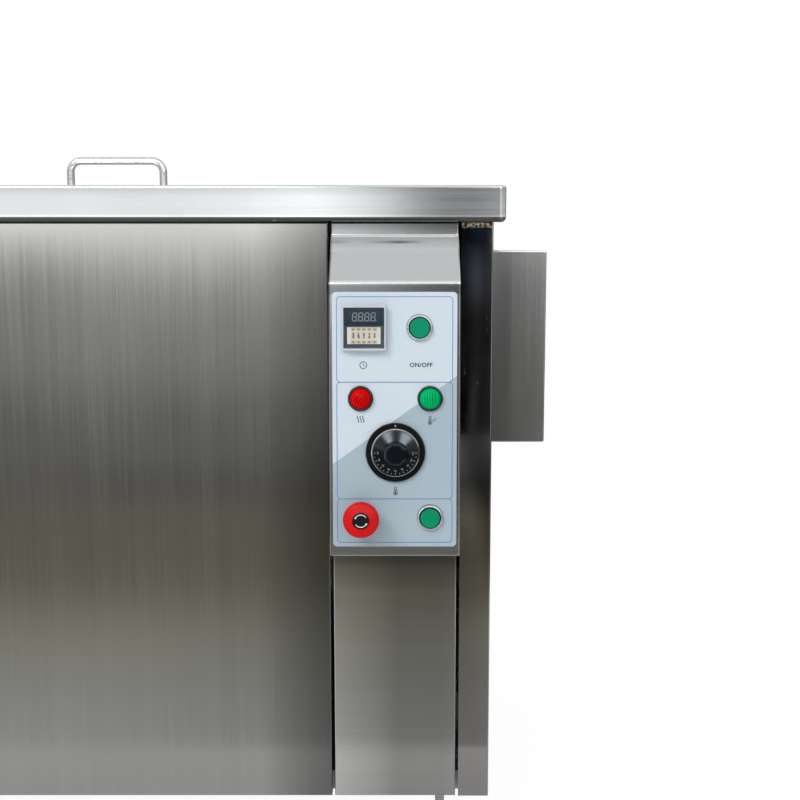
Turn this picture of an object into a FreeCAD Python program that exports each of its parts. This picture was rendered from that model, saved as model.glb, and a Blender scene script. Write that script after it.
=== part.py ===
"""Free-standing heated cleaning tank in folded stainless sheet, with a sloped control console.

Frame: +Z up, the front faces -Y, +X to the right, millimetres.  The origin is on the floor,
under the middle of the whole outline.
"""
import FreeCAD, Part
import os
import re
import Sketcher

SIZES = {
    # Cabinet of folded sheet
    "overall_height": 850,
    "cabinet_width": 760,
    "cabinet_depth": 560,
    "panel_sheet": 1.5,
    "overcut": 15,
    "panel_return": 20,
    "bend_radius": 2,
    "seam": 0.8,
    "side_strip": 38.5,
    "rear_return": 25,
    "rear_margin": 8,
    "base_sheet": 2,
    "base_upstand": 25,
    "partition_foot": 18,
    "base_gap": 0.2,
    # Rim folded round the top
    "rim_height": 43.5,
    "rim_overhang": 14,
    "rim_sheet": 2,
    "rim_corner": 8,
    "rim_bottom_bend": 6,
    "rim_top_bend": 3.5,
    "rim_flange": 12,
    # Tank and lid
    "tank_side_room": 40.5,
    "tank_end_room": 80,
    "tank_depth": 380,
    "tank_sheet": 2,
    "tank_corner": 20,
    "tank_flange": 12,
    "lid_ledge": 15,
    "lid_recess": 12,
    "lid_gap": 3,
    "lid_seat": 0.3,
    "lid_sheet": 1.5,
    "handle_span": 120,
    "handle_rise": 40,
    "handle_rod": 10,
    "handle_bend": 14,
    "handle_foot": 20,
    "handle_foot_height": 3,
    "handle_from_front": 70,
    "hinge_spread": 300,
    "hinge_setback": 2,
    "hinge_axis_rise": 5,
    "hinge_knuckle": 9,
    "hinge_knuckle_length": 14,
    "hinge_play": 0.4,
    "hinge_pin": 5,
    "hinge_leaf": 26,
    "hinge_leaf_sheet": 2,
    # Console and the column under it
    "column_width": 153.5,
    "column_gap": 3.5,
    "console_top_flat": 15,
    "console_slope_drop": 55,
    "console_reach": 60,
    "console_length": 392,
    "console_lean": 2.15,
    "console_inset": 20,
    "cover_gap": 0.6,
    "overlay_width": 145.5,
    "overlay_margin": 12,
    "overlay_top": 80,
    "overlay_sheet": 0.8,
    "overlay_corner": 5,
    # Places on the console: across from its middle, and down from the rim's underside
    "timer_u": -35.6,
    "timer_v": 121.5,
    "on_off_u": 29,
    "on_off_v": 121.5,
    "heater_lamp_u": -39.8,
    "heater_lamp_v": 204,
    "ready_lamp_u": 41.4,
    "ready_lamp_v": 204,
    "dial_u": 0.9,
    "dial_raise": 6.2,
    "stop_u": -39,
    "stop_up": 49,
    "start_u": 41.6,
    "start_up": 47,
    # Pushbuttons, lamps and the stop button share one panel hole
    "barrel_diameter": 22,
    "barrel_length": 24,
    "hole_play": 0.6,
    "free_room": 1.2,
    "stem_diameter": 12,
    "stem_length": 16,
    "slide_play": 0.4,
    "running_play": 0.06,
    "nut_diameter": 29,
    "nut_height": 6,
    "block_width": 28,
    "block_height": 36,
    "block_depth": 30,
    "terminal_width": 23.2,
    "terminal_height": 43.2,
    "terminal_depth": 10,
    "button_bezel": 29.3,
    "button_bezel_height": 5.5,
    "button_chamfer": 1.2,
    "cap_diameter": 22.9,
    "cap_rise": 7.2,
    "cap_travel": 3,
    "cap_floor": 0.8,
    "cap_round": 0.6,
    "lamp_bezel": 30,
    "lamp_bezel_height": 4.2,
    "lens_diameter": 26.4,
    "lens_seat": 2,
    "lens_height": 8,
    "lens_crown": 14,
    "stop_collar_diameter": 30,
    "stop_collar_height": 8,
    "stop_head_diameter": 42,
    "stop_head_under": 14,
    "stop_head_neck": 24,
    "stop_head_flare": 8,
    "stop_head_crown": 2.6,
    "stop_head_belly": 3,
    "stop_head_round": 4.4,
    "stop_height": 32.925,
    "stop_disc": 20,
    "stop_disc_depth": 0.8,
    "stop_socket": 10,
    # Thermostat dial
    "dial_ring_diameter": 69.6,
    "dial_ring_height": 4.8,
    "dial_gap": 0.5,
    "knob_diameter": 56.5,
    "knob_rim_height": 8.5,
    "knob_rim_width": 1.8,
    "knob_cone_height": 12.5,
    "knob_grip": 29,
    "knob_grip_sides": 8,
    "knob_grip_height": 22,
    "knob_grip_bevel": 3,
    "knob_insert": 20,
    "knob_insert_depth": 0.4,
    "knob_floor": 0.6,
    "knob_shaft": 6,
    "knob_shaft_length": 20,
    "thermostat_width": 44,
    "thermostat_depth": 32,
    # Timer with hinged clear cover and a row of digit switches
    "timer_face": 48,
    "timer_front": 6,
    "timer_corner": 1.5,
    "timer_body": 44.6,
    "timer_depth": 62,
    "timer_cutout_play": 0.4,
    "window_width": 46,
    "window_height": 20.6,
    "window_up": 12.8,
    "window_recess": 1,
    "switch_width": 38.7,
    "switch_height": 19.5,
    "switch_depth": 17.5,
    "switch_down": 8.9,
    "switch_wall": 0.7,
    "digit_count": 5,
    "digit_faces": 10,
    "digit_pitch": 6.2,
    "digit_window_width": 4.6,
    "digit_window_height": 6.8,
    "digit_wheel_diameter": 15,
    "digit_wheel_width": 4.4,
    "digit_axle": 2,
    "digit_play": 0.4,
    "key_width": 4.6,
    "key_height": 2.8,
    "key_length": 2.6,
    "key_proud": 0.9,
    "key_offset": 7.4,
    "key_play": 0.3,
    "key_travel": 1.2,
    "cover_width": 51.6,
    "cover_wall": 1.4,
    "cover_corner": 2.5,
    "cover_round": 1,
    "cover_rise": 9.5,
    "cover_foot": 0.4,
    "cover_lip": 2.2,
    "cover_barrel": 3.2,
    "cover_barrel_length": 40,
    "cover_pin": 1.4,
    "cover_ear": 2.4,
    "cover_play": 0.4,
    # Terminal box on the right side
    "box_projection": 71,
    "box_height": 243,
    "box_depth": 320,
    "box_top": 35,
    "box_setback": 60,
    "box_sheet": 1.5,
    "box_cover_return": 14,
    "gland_body": 22,
    "gland_hex": 27,
    "gland_dome": 22.7,
    "gland_lip": 19,
    "gland_bore": 13,
    "gland_length": 24,
    "gland_collar": 6,
    "gland_from_rear": 60,
    # Drain
    "drain_bore": 20,
    "drain_tube": 27,
    "drain_bend": 40,
    "drain_drop": 30,
    "drain_from_right": 70,
    "drain_from_rear": 60,
    "drain_standoff": 14,
    "valve_length": 76,
    "valve_nose": 9.5,
    "valve_shoulder": 19,
    "valve_step": 4,
    "valve_body": 40,
    "valve_end": 34,
    "valve_thread_bore": 24.1,
    "valve_thread_depth": 16,
    "ball_diameter": 29,
    "ball_play": 0.5,
    "valve_stem": 8,
    "stem_into_ball": 3,
    "valve_boss": 18,
    "valve_boss_rise": 30,
    "lever_length": 96,
    "lever_width": 16,
    "lever_end_round": 7,
    "lever_grip_start": 40,
    "lever_grip_length": 58,
    "lever_grip_width": 20,
    "lever_grip_height": 7.2,
    "lever_sheet": 3,
    "lever_play": 0.5,
    # Ultrasonic and heating gear
    "transducer_columns": 4,
    "transducer_rows": 3,
    "transducer_pitch_x": 105,
    "transducer_pitch_y": 110,
    "transducer_face": 58,
    "transducer_mass": 44,
    "transducer_height": 62,
    "transducer_shoulder": 31,
    "transducer_rim": 8,
    "heater_length": 340,
    "heater_height": 180,
    "heater_depth": 6,
    "heater_lift": 70,
    "generator_width": 140,
    "generator_length": 300,
    "generator_height": 120,
    "fin_count": 9,
    "fin_height": 22,
    "fin_width": 3,
    "rail_length": 240,
    "rail_height": 35,
    "rail_depth": 7.5,
    "rail_lip": 7,
    "rail_margin": 30,
    "device_space": 6,
    "rail_level": 420,
    "contactor_width": 45,
    "contactor_height": 76,
    "contactor_depth": 80,
    "breaker_width": 36,
    "breaker_height": 84,
    "breaker_depth": 64,
    # Fan behind the rear louvres
    "fan_width": 92,
    "fan_depth": 25,
    "fan_bore": 86,
    "fan_hub": 38,
    "fan_hub_plate": 4,
    "fan_spoke": 6,
    "fan_pin": 4,
    "fan_tip_gap": 2,
    "fan_running_gap": 0.6,
    "fan_blades": 7,
    "fan_blade_sheet": 1.8,
    "fan_blade_depth": 15,
    "fan_blade_pitch": 38,
    "fan_level": 260,
    "louvre_count": 9,
    "louvre_width": 116,
    "louvre_pitch": 15,
    "louvre_rise": 7,
    "louvre_height": 11,
    # Levelling feet
    "foot_height": 80,
    "foot_pad": 50,
    "foot_pad_height": 8,
    "foot_pad_edge": 4,
    "foot_neck": 20,
    "foot_neck_rise": 16,
    "foot_stem": 12,
    "foot_stem_above": 18,
    "foot_nut": 22,
    "foot_nut_height": 9,
    "foot_inset": 60,
}

DERIVED = {
    "cab_right": "(cabinet_width + rim_overhang - box_projection) / 2",
    "cab_left": "cab_right - cabinet_width",
    "cab_front": "(front_reach - cabinet_depth - rear_reach) / 2",
    "cab_rear": "cab_front + cabinet_depth",
    "cab_bottom": "foot_height",
    "rim_under": "overall_height - rim_height",
    "front_reach": "console_reach + (stop_v - face_top) * tan(console_lean) + overlay_sheet + stop_height",
    "rear_reach": "panel_sheet + drain_standoff + valve_length",
    "column_right": "cab_right - side_strip - column_gap",
    "column_left": "column_right - column_width",
    "console_x": "(column_left + column_right) / 2",
    "panel_left": "cab_left + side_strip + seam",
    "panel_right": "column_left - column_gap",
    "bay_x": "(panel_right + cab_right - panel_sheet) / 2",
    "face_top": "console_top_flat + console_slope_drop",
    "face_length": "(console_length - face_top) / cos(console_lean)",
    "console_foot_reach": "console_reach + (console_length - face_top) * tan(console_lean)",
    "face_gauge": "panel_sheet / cos(console_lean)",
    "overlay_height": "console_length - overlay_margin - overlay_top",
    "stop_v": "console_length - stop_up",
    "start_v": "console_length - start_up",
    "dial_v": "(heater_lamp_v + stop_v) / 2 - dial_raise",
    "slope_mitre": "panel_sheet * tan(atan(console_reach / console_slope_drop) / 2)",
    "tank_length": "panel_right - cab_left - 2 * tank_side_room",
    "tank_width": "cabinet_depth - 2 * tank_end_room",
    "tank_x": "(cab_left + panel_right) / 2",
    "tank_y": "(cab_front + cab_rear) / 2",
    "ledge_level": "overall_height - lid_recess",
    "tank_top": "ledge_level - rim_sheet",
    "tank_floor": "tank_top - tank_depth",
    "tank_under": "tank_floor - tank_sheet",
    "recess_length": "tank_length + 2 * lid_ledge",
    "recess_width": "tank_width + 2 * lid_ledge",
    "recess_rear": "tank_y + recess_width / 2",
    "hinge_y": "recess_rear + hinge_setback",
    "hinge_z": "overall_height + hinge_axis_rise",
    "handle_y": "tank_y - recess_width / 2 + handle_from_front",
    "drain_x": "tank_x + tank_length / 2 - drain_from_right",
    "drain_y": "tank_y + tank_width / 2 - drain_from_rear",
    "drain_level": "tank_under - drain_drop - drain_bend",
    "valve_start": "cab_rear + panel_sheet + drain_standoff",
    "valve_y": "valve_start + valve_length / 2",
    "barrel_radius": "barrel_diameter / 2",
    "shaft_bore": "stem_diameter / 2 + slide_play",
    "digit_depth": "switch_wall + digit_play + digit_wheel_diameter / 2",
    "cover_axis_up": "timer_face / 2 + cover_play + cover_barrel / 2",
    "cover_axis_out": "cover_foot + cover_barrel / 2",
    "panel_back": "overlay_sheet + panel_sheet",
    "base_front": "cab_front + panel_return + base_gap",
    "base_rear": "cab_rear - panel_sheet",
}

WORD = re.compile(r"[a-z][a-z0-9_]*")
doc = FreeCAD.newDocument("cleaning_tank")
dims = doc.addObject("Spreadsheet::Sheet", "dims")
for row, (name, size) in enumerate(SIZES.items(), start=1):
    dims.set(f"A{row}", name)
    dims.set(f"B{row}", str(size))
    dims.setAlias(f"B{row}", name)
doc.recompute()

NODES = []
V = FreeCAD.Vector
SAME_PLACE = 1e-3


def ex(formula):
    """The formula with each size pointing at its cell and each derived name written out."""
    def swap(match):
        word = match.group()
        if word in SIZES:
            return "dims." + word
        if word in DERIVED:
            return "(" + ex(DERIVED[word]) + ")"
        return word
    return WORD.sub(swap, str(formula))


def value(formula):
    """The number that a formula gives at the sizes in the sheet."""
    result = dims.evalExpression(ex(formula))
    return float(getattr(result, "Value", result))


def bind(obj, prop, formula):
    obj.setExpression(prop, ex(formula))


def put(obj, x="0", y="0", z="0"):
    """Bind an object's place."""
    for axis, formula in zip("xyz", (x, y, z)):
        bind(obj, "Placement.Base." + axis, formula)
    return obj


def turn(obj, axis, angle):
    """Turn an object about an axis through its own origin."""
    obj.Placement = FreeCAD.Placement(V(0, 0, 0), FreeCAD.Rotation(V(*axis), 90))
    bind(obj, "Placement.Rotation.Angle", angle)
    return obj


def on_face(obj, u, v, lift="0"):
    """Seat an object on the console: its +Z points out of the face and its +Y up the face."""
    turn(obj, (1, 0, 0), "90 - console_lean")
    lean_out = f"(({v}) - face_top) * tan(console_lean)"
    y = f"cab_front - console_reach - {lean_out} - ({lift}) * cos(console_lean)"
    return put(obj, f"console_x + ({u})", y, f"rim_under - ({v}) + ({lift}) * sin(console_lean)")


def seat(obj, device):
    """Seat a control on the overlay at its own place."""
    return on_face(obj, device + "_u", device + "_v", "overlay_sheet")


def box(name, x, y, z, length, width, height):
    """A block from its low corner and its three sizes."""
    block = doc.addObject("Part::Box", name)
    bind(block, "Length", length)
    bind(block, "Width", width)
    bind(block, "Height", height)
    return put(block, x, y, z)


def between(name, x0, x1, y0, y1, z0, z1):
    """A block from its two corners."""
    return box(name, x0, y0, z0, f"({x1}) - ({x0})", f"({y1}) - ({y0})", f"({z1}) - ({z0})")


def centred(name, width, height, z0, z1, x="0", y="0"):
    """A block centred on a local axis, for what sits on the console."""
    return box(name, f"({x}) - ({width}) / 2", f"({y}) - ({height}) / 2", z0, width, height,
               f"({z1}) - ({z0})")


def rod(name, diameter, z0, z1):
    """A round bar along +Z."""
    bar = doc.addObject("Part::Cylinder", name)
    bind(bar, "Radius", f"({diameter}) / 2")
    bind(bar, "Height", f"({z1}) - ({z0})")
    return put(bar, z=z0)


def cross_rod(name, diameter, length, axis, x, y, z):
    """A round bar along +X or +Y from its start point."""
    bar = doc.addObject("Part::Cylinder", name)
    bind(bar, "Radius", f"({diameter}) / 2")
    bind(bar, "Height", length)
    turn(bar, *{"x": ((0, 1, 0), "90"), "y": ((1, 0, 0), "-90")}[axis])
    return put(bar, x, y, z)


def prism(name, sides, across_corners, height):
    """A regular prism along +Z."""
    block = doc.addObject("Part::Prism", name)
    block.Polygon = sides
    bind(block, "Circumradius", f"({across_corners}) / 2")
    bind(block, "Height", height)
    return block


def flat_topped(name, sides, across_corners, height):
    """A regular prism along +Z with a flat, not a corner, towards +X."""
    turns = [f"({k} + 0.5) * 360 / {sides}" for k in range(int(value(sides)))]
    radius = f"({across_corners}) / 2"
    corners = [(f"{radius} * cos({turn_by})", f"{radius} * sin({turn_by})") for turn_by in turns]
    return padded(name, "XY_Plane", corners, height)


def ball(name, diameter, x, y, z):
    sphere = doc.addObject("Part::Sphere", name)
    bind(sphere, "Radius", f"({diameter}) / 2")
    return put(sphere, x, y, z)


def quarter_bend(name, radius, diameter, start, end):
    """A quarter of a torus about its centre, from one direction round to another."""
    bend = doc.addObject("Part::Torus", name)
    bind(bend, "Radius1", radius)
    bind(bend, "Radius2", f"({diameter}) / 2")
    bend.Angle3 = 90
    first, second = V(*start), V(*end)
    bend.Placement.Rotation = FreeCAD.Rotation(first, second, first.cross(second), "XYZ")
    return bend


def fuse(name, *shapes):
    joined = doc.addObject("Part::MultiFuse", name)
    joined.Shapes = list(shapes)
    joined.Refine = True
    return joined


def cut(name, base, *tools):
    result = doc.addObject("Part::Cut", name)
    result.Base = base
    result.Tool = tools[0] if len(tools) == 1 else fuse(name + "_tools", *tools)
    return result


def common(name, base, tool):
    result = doc.addObject("Part::Common", name)
    result.Base = base
    result.Tool = tool
    return result


def group(name, shapes):
    """Like pieces that share one node, each still its own solid."""
    pieces = doc.addObject("Part::Compound", name)
    pieces.Links = list(shapes)
    return pieces


def sketch(body, plane, points):
    """A closed outline whose corners are bound to the sheet."""
    outline = body.newObject("Sketcher::SketchObject", body.Name + "_outline")
    support = [part for part in body.Origin.OriginFeatures if part.Role == plane][0]
    outline.AttachmentSupport = [(support, "")]
    outline.MapMode = "FlatFace"
    corners = [V(value(a), value(b), 0) for a, b in points]
    count = len(corners)
    for i in range(count):
        outline.addGeometry(Part.LineSegment(corners[i], corners[(i + 1) % count]), False)
    for i in range(count):
        outline.addConstraint(Sketcher.Constraint("Coincident", i, 2, (i + 1) % count, 1))
    for i, (a, b) in enumerate(points):
        for kind, formula in (("DistanceX", a), ("DistanceY", b)):
            index = outline.addConstraint(Sketcher.Constraint(kind, -1, 1, i, 1, value(formula)))
            bind(outline, f"Constraints[{index}]", formula)
    return outline


def padded(name, plane, points, length):
    """A prism of an outline."""
    body = doc.addObject("PartDesign::Body", name)
    outline = sketch(body, plane, points)
    pad = body.newObject("PartDesign::Pad", name + "_pad")
    pad.Profile = outline
    bind(pad, "Length", length)
    return body


def turned(name, points):
    """A solid of revolution about +Z from (radius, height) corners."""
    body = doc.addObject("PartDesign::Body", name)
    outline = sketch(body, "XZ_Plane", points)
    spin = body.newObject("PartDesign::Revolution", name + "_spin")
    spin.Profile = outline
    spin.ReferenceAxis = (outline, ["V_Axis"])
    spin.Angle = 360
    return body


def block_body(name, length, width, height, x="0", y="0", z="0"):
    """A block as a body, ready to have its edges rounded."""
    corners = [("0", "0"), (length, "0"), (length, width), ("0", width)]
    return put(padded(name, "XY_Plane", corners, height), x, y, z)


def dress_edges(body, kind, size, wanted):
    """Round or bevel the edges of a body that a test picks."""
    doc.recompute()
    base = body.Tip
    names = [f"Edge{i}" for i, edge in enumerate(base.Shape.Edges, start=1) if wanted(edge)]
    feature = body.newObject("PartDesign::" + kind, f"{body.Name}_{kind.lower()}")
    feature.Base = (base, names)
    bind(feature, {"Fillet": "Radius", "Chamfer": "Size"}[kind], size)
    doc.recompute()
    return body


def round_edges(body, radius, wanted):
    return dress_edges(body, "Fillet", radius, wanted)


def bevel_edges(body, size, wanted):
    return dress_edges(body, "Chamfer", size, wanted)


def same(a, b):
    return abs(a - b) < SAME_PLACE


def run_of(edge):
    """The way an edge runs from end to end; a closed edge runs nowhere."""
    run = edge.Vertexes[-1].Point.sub(edge.Vertexes[0].Point)
    return run.normalize() if run.Length > SAME_PLACE else run


def upright(edge):
    return same(abs(run_of(edge).z), 1)


def lengthwise(edge):
    return same(abs(run_of(edge).x), 1)


def at_level(level):
    """Picks the edges at one height of a body."""
    height = value(level)
    return lambda edge: same(edge.CenterOfMass.z, height)


def at_rim(diameter, level):
    """Picks the circle of one diameter at one height of a turned body."""
    radius = value(diameter) / 2
    height = value(level)
    return lambda edge: same(getattr(edge.Curve, "Radius", 0), radius) and same(edge.CenterOfMass.z, height)


def node(name, obj):
    """Name a finished piece as a node."""
    obj.Label = name
    NODES.append(obj)
    return obj


def rim_and_tank():
    """The rim folded round the top with the lid's recess in it, and the tank hung under its ledge."""
    length = "cabinet_width + 2 * rim_overhang"
    depth = "cabinet_depth + 2 * rim_overhang"
    rim_x = "cab_left - rim_overhang"
    rim_y = "cab_front - rim_overhang"
    outer = block_body("rim_outer", length, depth, "rim_height", rim_x, rim_y, "rim_under")
    round_edges(outer, "rim_corner", upright)
    round_edges(outer, "rim_bottom_bend", at_level("0"))
    round_edges(outer, "rim_top_bend", at_level("rim_height"))
    hollow = block_body("rim_hollow", f"{length} - 2 * rim_sheet", f"{depth} - 2 * rim_sheet",
                        "rim_height - 2 * rim_sheet", f"{rim_x} + rim_sheet", f"{rim_y} + rim_sheet",
                        "rim_under + rim_sheet")
    round_edges(hollow, "rim_corner - rim_sheet", upright)
    round_edges(hollow, "rim_bottom_bend - rim_sheet", at_level("0"))
    skin = cut("rim_skin", outer, hollow)

    recess_x = "tank_x - recess_length / 2"
    recess_y = "tank_y - recess_width / 2"
    mouth_x = "tank_x - tank_length / 2"
    mouth_y = "tank_y - tank_width / 2"
    tray = box("rim_tray", f"{recess_x} - rim_sheet", f"{recess_y} - rim_sheet", "ledge_level - rim_sheet",
               "recess_length + 2 * rim_sheet", "recess_width + 2 * rim_sheet", "lid_recess + rim_sheet / 2")
    recess = box("rim_recess", recess_x, recess_y, "ledge_level", "recess_length", "recess_width",
                 "lid_recess + overcut")
    mouth = block_body("rim_mouth", "tank_length", "tank_width", "2 * overcut", mouth_x, mouth_y,
                       "ledge_level - overcut")
    round_edges(mouth, "tank_corner", upright)
    inset = "panel_sheet + rim_flange"
    below = between("rim_below", f"cab_left + {inset}", f"cab_right - {inset}", f"cab_front + {inset}",
                    f"cab_rear - {inset}", "rim_under - rim_sheet", "rim_under + 2 * rim_sheet")
    node("top_rim", cut("top_rim", fuse("rim_folds", skin, tray), recess, mouth, below))

    shell = block_body("tank_shell", "tank_length + 2 * tank_sheet", "tank_width + 2 * tank_sheet",
                       "tank_depth + tank_sheet", f"{mouth_x} - tank_sheet", f"{mouth_y} - tank_sheet",
                       "tank_under")
    round_edges(shell, "tank_corner + tank_sheet", upright)
    round_edges(shell, "tank_corner + tank_sheet", at_level("0"))
    flange = box("tank_flange_plate", f"{mouth_x} - tank_flange", f"{mouth_y} - tank_flange",
                 "tank_top - tank_sheet", "tank_length + 2 * tank_flange", "tank_width + 2 * tank_flange",
                 "tank_sheet")
    inside = block_body("tank_inside", "tank_length", "tank_width", "tank_depth + tank_sheet",
                        mouth_x, mouth_y, "tank_floor")
    round_edges(inside, "tank_corner", upright)
    round_edges(inside, "tank_corner", at_level("0"))
    outlet = put(rod("tank_outlet", "drain_bore", "tank_under - overcut", "tank_floor + overcut"),
                 "drain_x", "drain_y", "tank_under - overcut")
    node("wash_tank", cut("wash_tank", fuse("tank_folds", shell, flange), inside, outlet))


def pan(name, x0, x1, y0, y1, z0, z1):
    """A panel folded back along all four edges, open at the rear, with its front edges bent round."""
    outer = block_body(name + "_outer", f"({x1}) - ({x0})", f"({y1}) - ({y0})", f"({z1}) - ({z0})", x0,
                       y0, z0)
    round_edges(outer, "bend_radius", lambda edge: same(edge.CenterOfMass.y, 0))
    inner = between(name + "_inner", f"{x0} + panel_sheet", f"{x1} - panel_sheet", f"{y0} + panel_sheet",
                    f"{y1} + panel_sheet", f"{z0} + panel_sheet", f"{z1} - panel_sheet")
    return cut(name, outer, inner)


def side_panel(name, wall, inward):
    """A side folded round to the front in a broad strip and round to the rear in a narrow one."""
    strip = f"{wall} + {inward} * side_strip"
    lap = f"{wall} + {inward} * rear_return"
    inner = f"{wall} + {inward} * panel_sheet"
    outline = [(strip, "cab_front"), (wall, "cab_front"), (wall, "cab_rear"), (lap, "cab_rear"),
               (lap, "cab_rear - panel_sheet"), (inner, "cab_rear - panel_sheet"),
               (inner, "cab_front + panel_sheet"), (strip, "cab_front + panel_sheet")]
    body = put(padded(name, "XY_Plane", outline, "rim_under - cab_bottom"), z="cab_bottom")
    wall_x = value(wall)
    return round_edges(body, "bend_radius", lambda edge: upright(edge) and same(edge.CenterOfMass.x, wall_x))


def rear_panel():
    """The rear sheet with a bank of pressed louvres for the fan and a hole for the drain tube."""
    plate = between("rear_plate", "cab_left + rear_margin", "cab_right - rear_margin", "cab_rear",
                    "cab_rear + panel_sheet", "cab_bottom", "rim_under")
    skin = "cab_rear + panel_sheet"
    inside = "cab_rear - panel_sheet"
    hoods = []
    slots = []
    for i in range(int(value("louvre_count"))):
        low = f"fan_level + ({i} - (louvre_count - 1) / 2) * louvre_pitch - louvre_height / 2"
        high = f"{low} + louvre_height"
        lip = "cab_rear + louvre_rise + panel_sheet * louvre_rise / louvre_height"
        hood = [("cab_rear", low), (f"{skin} + louvre_rise", low), (skin, high), ("cab_rear", high)]
        slot = [(inside, f"{low} - panel_sheet"), (lip, f"{low} - panel_sheet"),
                (inside, f"{high} - panel_sheet")]
        hoods.append(put(padded(f"louvre_hood_{i}", "YZ_Plane", hood, "louvre_width"),
                         "bay_x - louvre_width / 2"))
        slots.append(put(padded(f"louvre_slot_{i}", "YZ_Plane", slot, "louvre_width - 2 * panel_sheet"),
                         "bay_x - louvre_width / 2 + panel_sheet"))
    drain_hole = cross_rod("rear_drain_hole", "drain_tube + 2 * hole_play", "2 * overcut", "y", "drain_x",
                           "cab_rear - overcut", "drain_level")
    node("rear_panel", cut("rear_panel", fuse("rear_folds", plate, *hoods), *slots, drain_hole))


def cabinet_panels():
    """Front, sides, rear, base pan and the wall of the electrics bay."""
    node("front_panel", pan("front_panel", "panel_left", "panel_right", "cab_front",
                            "cab_front + panel_return", "cab_bottom", "rim_under"))
    node("left_side_panel", side_panel("left_side_panel", "cab_left", "1"))
    right = side_panel("right_side_folds", "cab_right", "-1")
    wiring = cross_rod("side_wiring_hole", "gland_hex", "2 * overcut", "x", "cab_right - overcut",
                       "cab_front + box_setback + box_depth / 2", "rim_under - box_top - box_height / 2")
    node("right_side_panel", cut("right_side_panel", right, wiring))
    rear_panel()

    left = "cab_left + panel_sheet"
    right = "cab_right - panel_sheet"
    tray = between("base_tray", left, right, "base_front", "base_rear", "cab_bottom",
                   "cab_bottom + base_upstand")
    inside = between("base_inside", f"{left} + base_sheet", f"{right} - base_sheet",
                     "base_front + base_sheet",
                     "base_rear - base_sheet", "cab_bottom + base_sheet",
                     "cab_bottom + base_upstand + overcut")
    holes = [put(rod(f"foot_hole_{i}", "foot_stem + 2 * hole_play", "0", "2 * overcut"), x, y,
                 "cab_bottom - overcut") for i, (x, y) in enumerate(foot_places())]
    node("base_pan", cut("base_pan", tray, inside, *holes))

    wall = "panel_right - panel_sheet"
    floor = "cab_bottom + base_sheet"
    toe = f"{wall} + partition_foot"
    outline = [(wall, floor), (toe, floor), (toe, f"{floor} + panel_sheet"),
               ("panel_right", f"{floor} + panel_sheet"), ("panel_right", "rim_under"), (wall, "rim_under")]
    partition = padded("electrics_partition", "XZ_Plane", outline, "base_rear - base_front - 2 * base_sheet")
    node("electrics_partition", put(partition, y="base_rear - base_sheet"))


def foot_places():
    """Where the four feet stand, at the corners of the base."""
    return [(x, y) for x in ("cab_left + foot_inset", "cab_right - foot_inset")
            for y in ("cab_front + foot_inset", "cab_rear - foot_inset")]


def feet():
    """Levelling feet with a lock nut on each side of the base."""
    top = "foot_height + foot_stem_above"
    outline = [("0", "0"), ("foot_pad / 2", "0"), ("foot_pad / 2", "foot_pad_edge"),
               ("foot_neck / 2", "foot_pad_height"), ("foot_neck / 2", "foot_neck_rise"),
               ("foot_stem / 2", "foot_neck_rise"), ("foot_stem / 2", top), ("0", top)]
    stems = []
    nuts = []
    for i, (x, y) in enumerate(foot_places()):
        stems.append(put(turned(f"foot_{i}", outline), x, y))
        for j, level in enumerate(("cab_bottom - foot_nut_height", "cab_bottom + base_sheet")):
            hexagon = prism(f"foot_hex_{i}_{j}", 6, "foot_nut", "foot_nut_height")
            bore = rod(f"foot_bore_{i}_{j}", "foot_stem", "0 - overcut", "foot_nut_height + overcut")
            nuts.append(put(cut(f"foot_nut_{i}_{j}", hexagon, bore), x, y, level))
    node("levelling_feet", group("levelling_feet", stems + nuts))


def lid():
    """The flush lid and its bow handle."""
    x0 = "tank_x - recess_length / 2 + lid_gap"
    x1 = "tank_x + recess_length / 2 - lid_gap"
    y0 = "tank_y - recess_width / 2 + lid_gap"
    y1 = "recess_rear - lid_gap"
    foot = "ledge_level + lid_seat"
    outer = block_body("lid_outer", f"({x1}) - ({x0})", f"({y1}) - ({y0})", f"overall_height - ({foot})",
                       x0, y0, foot)
    round_edges(outer, "bend_radius", at_level("lid_recess - lid_seat"))
    inner = between("lid_inner", f"{x0} + lid_sheet", f"{x1} - lid_sheet", f"{y0} + lid_sheet",
                    f"{y1} - lid_sheet", f"{foot} - lid_sheet", "overall_height - lid_sheet")
    node("lid_pan", cut("lid_pan", outer, inner))

    half = "handle_span / 2"
    level = "overall_height + handle_rise - handle_rod / 2"
    pieces = [cross_rod("handle_bar", "handle_rod", "handle_span - 2 * handle_bend", "x",
                        f"tank_x - {half} + handle_bend", "handle_y", level)]
    for name, side in (("left", "-1"), ("right", "1")):
        post_x = f"tank_x + {side} * {half}"
        post = rod(f"handle_post_{name}", "handle_rod", "overall_height", f"{level} - handle_bend")
        pieces.append(put(post, post_x, "handle_y", "overall_height"))
        foot_disc = rod(f"handle_foot_{name}", "handle_foot", "0", "handle_foot_height")
        pieces.append(put(foot_disc, post_x, "handle_y", "overall_height"))
        bend = quarter_bend(f"handle_bend_{name}", "handle_bend", "handle_rod", (int(side), 0, 0), (0, 0, 1))
        pieces.append(put(bend, f"tank_x + {side} * ({half} - handle_bend)", "handle_y",
                          f"{level} - handle_bend"))
    node("lid_handle", fuse("lid_handle", *pieces))


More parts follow.
